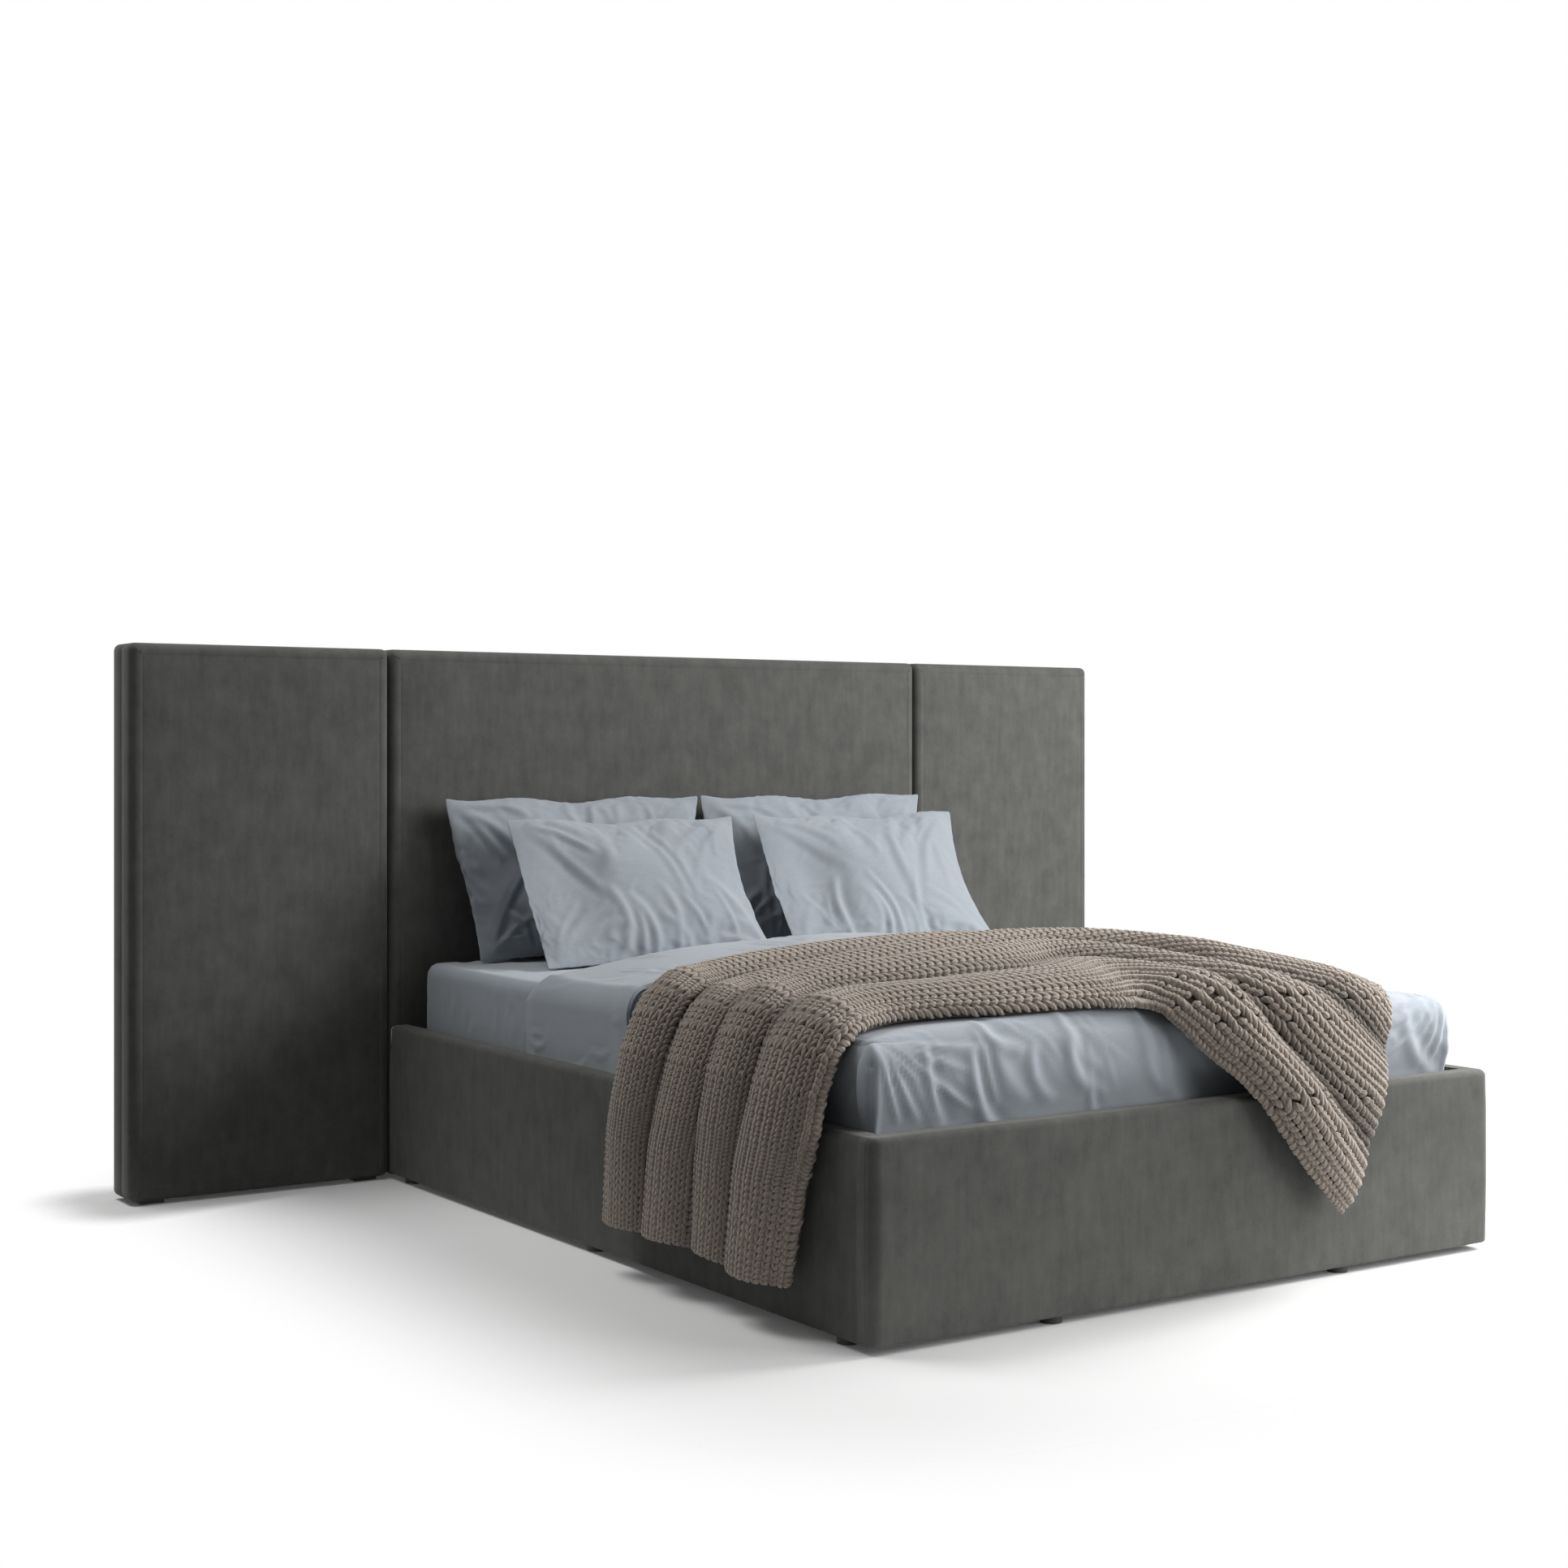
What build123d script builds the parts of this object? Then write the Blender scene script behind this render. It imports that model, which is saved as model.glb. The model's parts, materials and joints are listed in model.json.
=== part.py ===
from build123d import *
from math import atan2, cos, degrees, hypot, radians, sin
import os

os.makedirs("parts", exist_ok=True)

# Upholstered double bed with a wide three-panel headboard and a lift-up storage base.
# Millimetres. +Z is up, +Y points to the wall behind the bed, the foot end is at -Y.
# The origin is on the floor, under the middle of the headboard.

# Sizes of the mattress
mattress_width = 1600
mattress_length = 2000
mattress_ease = 10
mattress_height = 217
mattress_corner = 40

# Sizes of the padded box
rail_top = 402
rail_board = 25
rail_foam = 18
rail_top_foam = 10
cover = 2
rail_bottom = 15
rail_edge_radius = 14
rail_bottom_radius = 7
corner_radius = 25
side_gap = 10
head_gap = 60
foot_gap = 45

# Sizes of the headboard
side_panel_width = 685
headboard_height = 1385
headboard_depth = 130
headboard_foam = 50
headboard_board = 18
headboard_edge_radius = 24
panel_corner_radius = 18
panel_gap = 1
glide_height = 8
glide_width = 60
glide_depth = 90
upright_width = 60
center_uprights = 7
side_uprights = 3

# Sizes of the storage box
divider_thickness = 18
divider_notch = 420
divider_low = 230
floor_thickness = 8
floor_height = 45
ledge_width = 20
ledge_height = 20
fit_gap = 1
crossboard_thickness = 40
crossboard_top = 270
crossboard_gap = 3
foot_pad_radius = 22
foot_pad_margin = 75
foot_pad_pitch = 800

# Sizes of the lifting platform
platform_bottom = 285
tube_height = 40
tube_width = 40
tube_wall = 2
platform_head_gap = 2
platform_side_gap = 20
slat_top_gap = 20
slat_width = 68
slat_thickness = 8
slat_rows = 12
holder_length = 30
holder_lift = 4
holder_gap = 0.5

# Pivots of the lifting gear in the side view: distance from the headboard's face, and height
arm_pivot = (558, 216)
platform_pivot = (365, 262)
link_pivot = (760, 223)
link_end = (480, 247)
strut_foot = (728, 68)
strut_head = (532, 243)
pin_radius = 6
strut_pin_radius = 4
running_gap = 0.05
pivot_gap = 0.4
bar_height = 34
bar_thickness = 5
plate_thickness = 3
layer_gap = 1
cylinder_radius = 11
cylinder_bore = 9.5
rod_radius = 5
cylinder_start = 16
cylinder_end = 214
piston_start = 35
piston_length = 10
cap_length = 8
eye_radius = 10
eye_width = 12

# Sizes of the bedding
sheet = 3
soft_gap = 0.5
duvet_side = 8
duvet_foot = 12
duvet_start = 692
throw_thickness = 12
pillow_gap = 0.4
back_pillow_height = 430
back_pillow_thickness = 158
back_pillow_lean = 13
back_pillow_place = 168
front_pillow_height = 430
front_pillow_thickness = 150
front_pillow_lean = 32
front_pillow_place = 446

# Bolts
bolt_radius = 4
bolt_clearance = 0.25
bolt_head_radius = 7.5
bolt_head_height = 5
bolt_short = 2
head_bolt_pitch = 400
head_bolt_heights = (100, 220)
seam_bolt_margin = 190

# Derived places
headboard_face = -headboard_depth / 2
rail_thickness = rail_board + rail_foam + cover
inner_half = mattress_width / 2 + side_gap
outer_half = inner_half + rail_thickness
center_panel_width = 2 * outer_half
foot_inner = head_gap + mattress_length + foot_gap
bed_length = foot_inner + rail_thickness
board_top = rail_top - cover - rail_top_foam
board_bottom = rail_bottom + cover
mattress_bottom = platform_bottom + tube_height + slat_top_gap
mattress_top = mattress_bottom + mattress_height
mattress_half = mattress_width / 2 - mattress_ease
mattress_head = head_gap + mattress_ease / 2
mattress_foot = head_gap + mattress_length - mattress_ease / 2
sheet_half = mattress_half + sheet + soft_gap
sheet_top = mattress_top + sheet + soft_gap
sheet_head = mattress_head - sheet - soft_gap
sheet_foot = mattress_foot + sheet + soft_gap
duvet_half = sheet_half + soft_gap + duvet_side
duvet_end = sheet_foot + soft_gap + duvet_foot
platform_half_width = mattress_width / 2 - platform_side_gap
platform_head = head_gap + platform_head_gap
platform_foot = head_gap + mattress_length
pad_depth = cover + headboard_foam + headboard_board


def back(distance):
    """Y of a place at this distance from the headboard's face, towards the foot."""
    return headboard_face - distance


def side_point(place):
    """A pivot of the side view as a point of a YZ sketch."""
    return (back(place[0]), place[1])


def save(piece, name):
    """Labels a finished piece and writes its file."""
    piece.part.label = name
    export_step(piece.part, "parts/" + name + ".step")


def block(x_low, x_high, near, far, z_low, z_high, mode=Mode.ADD):
    """A box between two heights; near and far are distances from the headboard's face."""
    with BuildSketch(Plane.XY.offset(z_low)) as outline:
        with Locations(((x_low + x_high) / 2, back((near + far) / 2))):
            Rectangle(abs(x_high - x_low), abs(far - near))
    extrude(outline.sketch, amount=z_high - z_low, mode=mode)


def bolt_hole_x(x_low, x_high, places, radius):
    """Holes along X at places of the side view."""
    with BuildSketch(Plane.YZ.offset(x_low)) as holes:
        with Locations(*[side_point(place) for place in places]):
            Circle(radius)
    extrude(holes.sketch, amount=x_high - x_low, mode=Mode.SUBTRACT)


def bolt_hole_y(near, far, places, radius):
    """Holes along Y at (x, z) places, from one distance to another."""
    with BuildSketch(Plane.XZ.offset(-back(near))) as holes:
        with Locations(*places):
            Circle(radius)
    extrude(holes.sketch, amount=far - near, mode=Mode.SUBTRACT)


# Where the bolts go
seam_bolt_heights = (seam_bolt_margin, headboard_height / 2, headboard_height - seam_bolt_margin)
seam_bolt_depth = -(pad_depth + (headboard_depth - pad_depth) / 2)
head_bolt_places = [(step * head_bolt_pitch, z) for step in (-1.5, -0.5, 0.5, 1.5) for z in head_bolt_heights]
bracket_heights = (90, 330)
bracket_leg = 60
bracket_thickness = 4
bracket_inset = 35
lift_bolt_places = [(590, 120), (680, 110), (665, 205)]
bracket_places = [foot_inner - bracket_inset, crossboard_gap + crossboard_thickness + bracket_inset]


# Side rails of the box: board, foam over it, and the cover round both
for side, sign in (("left", -1), ("right", 1)):
    rail_bolts = [(place, z) for place in bracket_places for z in bracket_heights]
    with BuildPart() as rail_board_part:
        block(sign * inner_half, sign * (inner_half + rail_board), 0, foot_inner, board_bottom, board_top)
        low = min(sign * inner_half, sign * (inner_half + rail_board))
        bolt_hole_x(low, low + rail_board, rail_bolts + lift_bolt_places, bolt_radius + bolt_clearance)
    save(rail_board_part, "side_rail_" + side + "_board")

    with BuildPart() as rail_foam_part:
        foam_half = outer_half - cover
        block(sign * inner_half, sign * foam_half, 0, foot_inner, board_bottom, rail_top - cover)
        outer_edges = rail_foam_part.edges().filter_by(Axis.Y).group_by(Axis.X)[0 if sign < 0 else -1]
        fillet(outer_edges.sort_by(Axis.Z)[-1], rail_edge_radius - cover)
        outer_edges = rail_foam_part.edges().filter_by(Axis.Y).group_by(Axis.X)[0 if sign < 0 else -1]
        fillet(outer_edges.sort_by(Axis.Z)[0], rail_bottom_radius - cover)
        block(sign * inner_half, sign * (inner_half + rail_board), 0, foot_inner, board_bottom, board_top,
              Mode.SUBTRACT)
    save(rail_foam_part, "side_rail_" + side + "_foam")

    with BuildPart() as rail_cover_part:
        block(sign * inner_half, sign * outer_half, 0, foot_inner, rail_bottom, rail_top)
        outer_edges = rail_cover_part.edges().filter_by(Axis.Y).group_by(Axis.X)[0 if sign < 0 else -1]
        fillet(outer_edges.sort_by(Axis.Z)[-1], rail_edge_radius)
        outer_edges = rail_cover_part.edges().filter_by(Axis.Y).group_by(Axis.X)[0 if sign < 0 else -1]
        fillet(outer_edges.sort_by(Axis.Z)[0], rail_bottom_radius)
        add(rail_foam_part.part, mode=Mode.SUBTRACT)
        block(sign * inner_half, sign * (inner_half + rail_board), 0, foot_inner, board_bottom, board_top,
              Mode.SUBTRACT)
    save(rail_cover_part, "side_rail_" + side + "_cover")


# Foot rail: it spans the full width, and its foam and cover turn round the two corners
def foot_block(skin):
    """The foot rail's outer form, taken in by the thickness of a skin."""
    low = rail_bottom + skin
    with BuildSketch(Plane.XY.offset(low)) as outline:
        with Locations((0, back(foot_inner + (rail_thickness - skin) / 2))):
            Rectangle(2 * (outer_half - skin), rail_thickness - skin)
    extrude(outline.sketch, amount=rail_top - skin - low)


def round_foot(piece, skin):
    """Rounds the foot rail's corners and its long edges."""
    fillet(piece.edges().filter_by(Axis.Z).group_by(Axis.Y)[0], corner_radius - skin)
    top = piece.faces().sort_by(Axis.Z)[-1]
    outer_top = top.edges().filter_by(lambda e: e.center().Y < back(foot_inner) - 0.1)
    fillet(outer_top, rail_edge_radius - skin)
    bottom = piece.faces().sort_by(Axis.Z)[0]
    outer_bottom = bottom.edges().filter_by(lambda e: e.center().Y < back(foot_inner) - 0.1)
    fillet(outer_bottom, rail_bottom_radius - skin)


foot_board_half = inner_half + rail_board
foot_bolts = [(sign * (inner_half - bracket_inset), z) for sign in (-1, 1) for z in bracket_heights]
with BuildPart() as foot_board:
    block(-foot_board_half, foot_board_half, foot_inner, foot_inner + rail_board, board_bottom, board_top)
    bolt_hole_y(foot_inner, foot_inner + rail_board, foot_bolts, bolt_radius + bolt_clearance)
save(foot_board, "foot_rail_board")

with BuildPart() as foot_foam:
    foot_block(cover)
    round_foot(foot_foam, cover)
    block(-foot_board_half, foot_board_half, foot_inner, foot_inner + rail_board, board_bottom, board_top,
          Mode.SUBTRACT)
save(foot_foam, "foot_rail_foam")

with BuildPart() as foot_cover:
    foot_block(0)
    round_foot(foot_cover, 0)
    add(foot_foam.part, mode=Mode.SUBTRACT)
    block(-foot_board_half, foot_board_half, foot_inner, foot_inner + rail_board, board_bottom, board_top,
          Mode.SUBTRACT)
save(foot_cover, "foot_rail_cover")

# Cross board at the head end, bolted to the headboard
with BuildPart() as crossboard:
    block(-inner_half, inner_half, crossboard_gap, crossboard_gap + crossboard_thickness, board_bottom,
          crossboard_top)
    bolt_hole_y(crossboard_gap, crossboard_gap + crossboard_thickness, head_bolt_places,
                bolt_radius + bolt_clearance)
    head_bracket_bolts = [(sign * (inner_half - bracket_inset), bracket_heights[0]) for sign in (-1, 1)]
    bolt_hole_y(crossboard_gap, crossboard_gap + crossboard_thickness, head_bracket_bolts,
                bolt_radius + bolt_clearance)
save(crossboard, "head_crossboard")

# Steel corner brackets: two at each foot corner and one at each head corner
bracket_corners = []
for sign in (-1, 1):
    for z in bracket_heights:
        bracket_corners.append((sign, foot_inner, -1, z))
    bracket_corners.append((sign, crossboard_gap + crossboard_thickness, 1, bracket_heights[0]))

with BuildPart() as brackets:
    for sign, place, away, z in bracket_corners:
        wall = sign * inner_half
        with BuildSketch(Plane.XY.offset(z - bracket_leg / 4)):
            with BuildLine():
                Polyline((wall, back(place)),
                         (wall, back(place + away * bracket_leg)),
                         (wall - sign * bracket_thickness, back(place + away * bracket_leg)),
                         (wall - sign * bracket_thickness, back(place + away * bracket_thickness)),
                         (wall - sign * bracket_leg, back(place + away * bracket_thickness)),
                         (wall - sign * bracket_leg, back(place)), close=True)
            make_face()
        extrude(amount=bracket_leg / 2)
    bolt_hole_x(-inner_half, inner_half,
                [(place + away * bracket_inset, z) for _, place, away, z in bracket_corners],
                bolt_radius + bolt_clearance)
    bolt_hole_y(crossboard_gap, foot_inner + 1,
                [(sign * (inner_half - bracket_inset), z) for sign, _, _, z in bracket_corners],
                bolt_radius + bolt_clearance)
save(brackets, "corner_brackets")

with BuildPart() as bracket_bolts:
    for sign, place, away, z in bracket_corners:
        inner = inner_half - bracket_thickness
        with BuildSketch(Plane.YZ.offset(sign * (inner_half + rail_board - bolt_short))):
            with Locations(side_point((place + away * bracket_inset, z))):
                Circle(bolt_radius)
        extrude(amount=-sign * (rail_board - bolt_short + bracket_thickness))
        with BuildSketch(Plane.YZ.offset(sign * inner)):
            with Locations(side_point((place + away * bracket_inset, z))):
                Circle(bolt_head_radius)
        extrude(amount=-sign * bolt_head_height)
        depth = rail_board - bolt_short
        face = back(place + away * bracket_thickness)
        with BuildSketch(Plane.XZ.offset(-face)):
            with Locations((sign * (inner_half - bracket_inset), z)):
                Circle(bolt_radius)
        extrude(amount=-away * (depth + bracket_thickness))
        with BuildSketch(Plane.XZ.offset(-face)):
            with Locations((sign * (inner_half - bracket_inset), z)):
                Circle(bolt_head_radius)
        extrude(amount=away * bolt_head_height)
save(bracket_bolts, "bracket_bolts")

# Storage box: a divider under the middle, ledges on the rails and two floor panels
divider_near = crossboard_gap + crossboard_thickness
with BuildPart() as divider:
    block(-divider_thickness / 2, divider_thickness / 2, divider_near, foot_inner, board_bottom,
          platform_bottom - fit_gap)
    block(-divider_thickness / 2, divider_thickness / 2, divider_near, divider_notch, divider_low,
          platform_bottom, Mode.SUBTRACT)
save(divider, "center_divider")

ledge_bottom = floor_height - ledge_height
with BuildPart() as ledges:
    for sign in (-1, 1):
        block(sign * (inner_half - ledge_width), sign * inner_half, divider_near, foot_inner,
              ledge_bottom, floor_height)
        block(sign * divider_thickness / 2, sign * (divider_thickness / 2 + ledge_width), divider_near,
              foot_inner, ledge_bottom, floor_height)
save(ledges, "floor_ledges")

for side, sign in (("left", -1), ("right", 1)):
    with BuildPart() as floor_panel:
        block(sign * (divider_thickness / 2 + fit_gap), sign * (inner_half - fit_gap),
              divider_near + fit_gap, foot_inner - fit_gap, floor_height, floor_height + floor_thickness)
    save(floor_panel, "storage_floor_" + side)

with BuildPart() as feet:
    pad_x = inner_half + rail_board / 2
    pad_rows = (foot_pad_margin, foot_inner / 2, foot_inner - foot_pad_margin)
    pad_places = [(sign * pad_x, back(place)) for sign in (-1, 1) for place in pad_rows]
    pad_places += [(sign * foot_pad_pitch / 2, back(foot_inner + rail_board / 2)) for sign in (-1, 1)]
    with BuildSketch(Plane.XY):
        with Locations(*pad_places):
            Circle(foot_pad_radius)
    extrude(amount=rail_bottom)
    with BuildSketch(Plane.XY):
        with Locations(*[(0, back(share * foot_inner)) for share in (1 / 3, 2 / 3)]):
            Circle(foot_pad_radius)
    extrude(amount=board_bottom)
save(feet, "base_feet")


# Headboard panels: uprights and rails behind, a board, foam and a cover
def panel_form(width, middle, skin):
    """The outer form of a headboard panel, taken in by the thickness of a skin."""
    low = glide_height + skin
    high = headboard_height - skin
    with BuildSketch(Plane.XZ.offset(-(headboard_face + skin))) as outline:
        with Locations((middle, (low + high) / 2)):
            RectangleRounded(width - 2 * skin, high - low, panel_corner_radius - skin)
    extrude(outline.sketch, amount=-(headboard_depth - skin))


panels = (
    ("left", -(center_panel_width + side_panel_width) / 2 - panel_gap, side_panel_width, side_uprights),
    ("center", 0, center_panel_width, center_uprights),
    ("right", (center_panel_width + side_panel_width) / 2 + panel_gap, side_panel_width, side_uprights),
)
board_low = glide_height + cover
board_high = headboard_height - cover
seam_x = center_panel_width / 2 + panel_gap / 2
seam_places = [(seam_bolt_depth, z) for z in seam_bolt_heights]
seam_span = upright_width + 10
for side, middle, width, uprights in panels:
    half = width / 2 - cover
    with BuildPart() as battens:
        for index in range(uprights):
            x = middle - half + upright_width / 2 + index * (2 * half - upright_width) / (uprights - 1)
            block(x - upright_width / 2, x + upright_width / 2, -pad_depth, -headboard_depth,
                  board_low + panel_corner_radius, board_high - panel_corner_radius)
        pitch = (2 * half - upright_width) / (uprights - 1)
        for index in range(uprights - 1):
            x = middle - half + upright_width + index * pitch
            for low in (board_low + panel_corner_radius, board_high - panel_corner_radius - upright_width):
                block(x, x + pitch - upright_width, -pad_depth, -headboard_depth, low, low + upright_width)
        for seam in (-seam_x, seam_x):
            bolt_hole_x(seam - seam_span, seam + seam_span, seam_places, bolt_radius + bolt_clearance)
    save(battens, "headboard_" + side + "_frame")

    with BuildPart() as panel_board:
        with BuildSketch(Plane.XZ.offset(-(headboard_face + cover + headboard_foam))):
            with Locations((middle, (board_low + board_high) / 2)):
                RectangleRounded(2 * half, board_high - board_low, panel_corner_radius - cover)
        extrude(amount=-headboard_board)
        if side == "center":
            bolt_hole_y(-pad_depth, 0, head_bolt_places, bolt_radius + bolt_clearance)
    save(panel_board, "headboard_" + side + "_board")

    with BuildPart() as panel_foam:
        panel_form(width, middle, cover)
        front = panel_foam.faces().sort_by(Axis.Y)[0]
        fillet(front.edges(), headboard_edge_radius - cover)
        block(middle - width, middle + width, -(cover + headboard_foam), -headboard_depth - 1, 0,
              headboard_height, Mode.SUBTRACT)
        if side == "center":
            bolt_hole_y(-pad_depth, 0, head_bolt_places, bolt_radius + bolt_clearance)
    save(panel_foam, "headboard_" + side + "_foam")

    with BuildPart() as panel_inside:
        panel_form(width, middle, cover)
        front = panel_inside.faces().sort_by(Axis.Y)[0]
        fillet(front.edges(), headboard_edge_radius - cover)

    with BuildPart() as panel_cover:
        panel_form(width, middle, 0)
        front = panel_cover.faces().sort_by(Axis.Y)[0]
        fillet(front.edges(), headboard_edge_radius)
        add(panel_inside.part, mode=Mode.SUBTRACT)
        for seam in (-seam_x, seam_x):
            bolt_hole_x(seam - seam_span, seam + seam_span, seam_places, bolt_radius + bolt_clearance)
        if side == "center":
            bolt_hole_y(-pad_depth, 0, head_bolt_places, bolt_radius + bolt_clearance)
    save(panel_cover, "headboard_" + side + "_cover")

# Bolts that join the panels, and bolts that hold the box to the headboard
with BuildPart() as seam_bolts:
    for seam in (-seam_x, seam_x):
        reach = upright_width + cover + panel_gap / 2
        for x_low, length, radius in (
            (seam - reach, 2 * reach, bolt_radius),
            (seam - reach - bolt_head_height, bolt_head_height, bolt_head_radius),
            (seam + reach, bolt_head_height, bolt_head_radius),
        ):
            with BuildSketch(Plane.YZ.offset(x_low)):
                with Locations(*[side_point(place) for place in seam_places]):
                    Circle(radius)
            extrude(amount=length)
save(seam_bolts, "panel_joining_bolts")

with BuildPart() as head_bolts:
    bolt_near = -pad_depth
    bolt_far = crossboard_gap + crossboard_thickness
    for near, far, radius in (
        (bolt_near, bolt_far, bolt_radius),
        (bolt_near - bolt_head_height, bolt_near, bolt_head_radius),
        (bolt_far, bolt_far + bolt_head_height, bolt_head_radius),
    ):
        with BuildSketch(Plane.XZ.offset(-back(near))):
            with Locations(*head_bolt_places):
                Circle(radius)
        extrude(amount=far - near)
save(head_bolts, "headboard_bolts")

with BuildPart() as glides:
    edge = center_panel_width / 2 + side_panel_width - glide_width
    inner_glide = center_panel_width / 2 + panel_gap + glide_width
    with BuildSketch(Plane.XY):
        with Locations(*[(sign * x, 0) for sign in (-1, 1) for x in (inner_glide / 2, inner_glide, edge)]):
            Rectangle(glide_width, glide_depth)
        Rectangle(glide_width, glide_depth)
    extrude(amount=glide_height)
save(glides, "headboard_glides")

# Lifting gear: layers from the rail inwards are plate, arm, link, top bracket, strut
plate_inner = inner_half - plate_thickness
arm_outer = plate_inner - layer_gap
arm_inner = arm_outer - bar_thickness
link_outer = arm_inner - 2 * layer_gap
link_inner = link_outer - bar_thickness
top_outer = link_inner - 2 * layer_gap
top_inner = top_outer - bar_thickness
strut_x = link_inner - 2 * layer_gap - cylinder_radius
plate_points = [(520, 170), (520, 248), (795, 254), (795, 190), (760, 60), (700, 60), (570, 90)]


def bar(first, second, height):
    """A flat bar with round ends between two pivots, as a shape of a YZ sketch."""
    start = side_point(first)
    end = side_point(second)
    angle = degrees(atan2(end[1] - start[1], end[0] - start[0]))
    with Locations(((start[0] + end[0]) / 2, (start[1] + end[1]) / 2)):
        SlotCenterToCenter(hypot(end[0] - start[0], end[1] - start[1]), height, rotation=angle)


def pin(place, radius, x_from, x_to):
    """A round pin along X between two distances from the middle."""
    with BuildSketch(Plane.YZ.offset(x_from)) as outline:
        with Locations(side_point(place)):
            Circle(radius)
    extrude(outline.sketch, amount=x_to - x_from)


for side, sign in (("left", -1), ("right", 1)):
    with BuildPart() as lift_plate:
        with BuildSketch(Plane.YZ.offset(sign * plate_inner)):
            with BuildLine():
                Polyline(*[side_point(place) for place in plate_points], close=True)
            make_face()
            with Locations(*[side_point(place) for place in lift_bolt_places]):
                Circle(bolt_radius + bolt_clearance, mode=Mode.SUBTRACT)
        extrude(amount=sign * plate_thickness)
        pin(arm_pivot, pin_radius, sign * plate_inner, sign * (arm_inner - layer_gap))
        pin(link_pivot, pin_radius, sign * plate_inner, sign * (link_inner - layer_gap))
        pin(strut_foot, strut_pin_radius, sign * plate_inner, sign * (strut_x - eye_width / 2 - layer_gap))
    save(lift_plate, "lift_plate_" + side)

    with BuildPart() as plate_bolts:
        depth = rail_board - bolt_short
        for place in lift_bolt_places:
            pin(place, bolt_radius, sign * plate_inner, sign * (inner_half + depth))
            pin(place, bolt_head_radius, sign * plate_inner, sign * (plate_inner - bolt_head_height))
    save(plate_bolts, "lift_bolts_" + side)

    with BuildPart() as lift_arm:
        with BuildSketch(Plane.YZ.offset(sign * arm_inner)):
            bar(arm_pivot, platform_pivot, bar_height)
            with Locations(side_point(arm_pivot)):
                Circle(pin_radius + running_gap, mode=Mode.SUBTRACT)
        extrude(amount=sign * bar_thickness)
        pin(platform_pivot, pin_radius, sign * arm_inner, sign * (top_inner - layer_gap))
    save(lift_arm, "lift_arm_" + side)

    with BuildPart() as lift_link:
        with BuildSketch(Plane.YZ.offset(sign * link_inner)):
            bar(link_pivot, link_end, bar_height)
            with Locations(side_point(link_pivot)):
                Circle(pin_radius + running_gap, mode=Mode.SUBTRACT)
        extrude(amount=sign * bar_thickness)
        pin(link_end, pin_radius, sign * link_inner, sign * (top_outer + pivot_gap))
    save(lift_link, "lift_link_" + side)

    with BuildPart() as top_bracket:
        with BuildSketch(Plane.YZ.offset(sign * top_inner)):
            bar(platform_pivot, link_end, bar_height)
            with BuildLine():
                Polyline(side_point((platform_pivot[0] - bar_height / 2, platform_pivot[1])),
                         side_point((platform_pivot[0] - bar_height / 2, platform_bottom + tube_height)),
                         side_point((link_end[0] + bar_height / 2, platform_bottom + tube_height)),
                         side_point((link_end[0] + bar_height / 2, link_end[1])), close=True)
            make_face()
            with Locations(side_point(platform_pivot)):
                Circle(pin_radius + running_gap, mode=Mode.SUBTRACT)
        extrude(amount=sign * bar_thickness)
        spacer_low = platform_bottom + tube_wall
        with BuildSketch(Plane.YZ.offset(sign * platform_half_width)):
            middle = (platform_pivot[0] + link_end[0]) / 2
            with Locations(side_point((middle, spacer_low + tube_height / 2 - tube_wall))):
                Rectangle(link_end[0] - platform_pivot[0], tube_height - 2 * tube_wall)
        extrude(amount=sign * (top_inner - platform_half_width))
    save(top_bracket, "lift_bracket_" + side)

    strut_along = (0, back(strut_head[0]) - back(strut_foot[0]), strut_head[1] - strut_foot[1])
    strut_length = hypot(strut_along[1], strut_along[2])
    strut_base = Plane(
        origin=(sign * strut_x, *side_point(strut_foot)), x_dir=(1, 0, 0), z_dir=strut_along)
    with BuildPart() as gas_cylinder:
        with BuildSketch(strut_base.offset(cylinder_start)):
            Circle(cylinder_radius)
        extrude(amount=cylinder_end - cylinder_start)
        with BuildSketch(strut_base.offset(cylinder_start + cap_length)):
            Circle(cylinder_bore)
        extrude(amount=cylinder_end - cylinder_start - 2 * cap_length, mode=Mode.SUBTRACT)
        with BuildSketch(strut_base.offset(cylinder_end - cap_length)):
            Circle(rod_radius + running_gap)
        extrude(amount=cap_length, mode=Mode.SUBTRACT)
        with BuildSketch(strut_base):
            Rectangle(eye_width, eye_width)
        extrude(amount=cylinder_start + 1)
        pin(strut_foot, eye_radius, sign * strut_x - eye_width / 2, sign * strut_x + eye_width / 2)
        with BuildSketch(Plane.YZ.offset(sign * strut_x - eye_width)):
            with Locations(side_point(strut_foot)):
                Circle(strut_pin_radius + running_gap)
        extrude(amount=2 * eye_width, mode=Mode.SUBTRACT)
    save(gas_cylinder, "gas_cylinder_" + side)

    with BuildPart() as gas_rod:
        with BuildSketch(strut_base.offset(piston_start)):
            Circle(cylinder_bore - 2 * running_gap)
        extrude(amount=piston_length)
        with BuildSketch(strut_base.offset(piston_start)):
            Circle(rod_radius)
        extrude(amount=strut_length - piston_start - eye_radius / 2)
        pin(strut_head, eye_radius, sign * strut_x - eye_width / 2, sign * strut_x + eye_width / 2)
        pin(strut_head, strut_pin_radius, sign * strut_x, sign * (link_inner - pivot_gap))
    save(gas_rod, "gas_rod_" + side)

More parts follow.
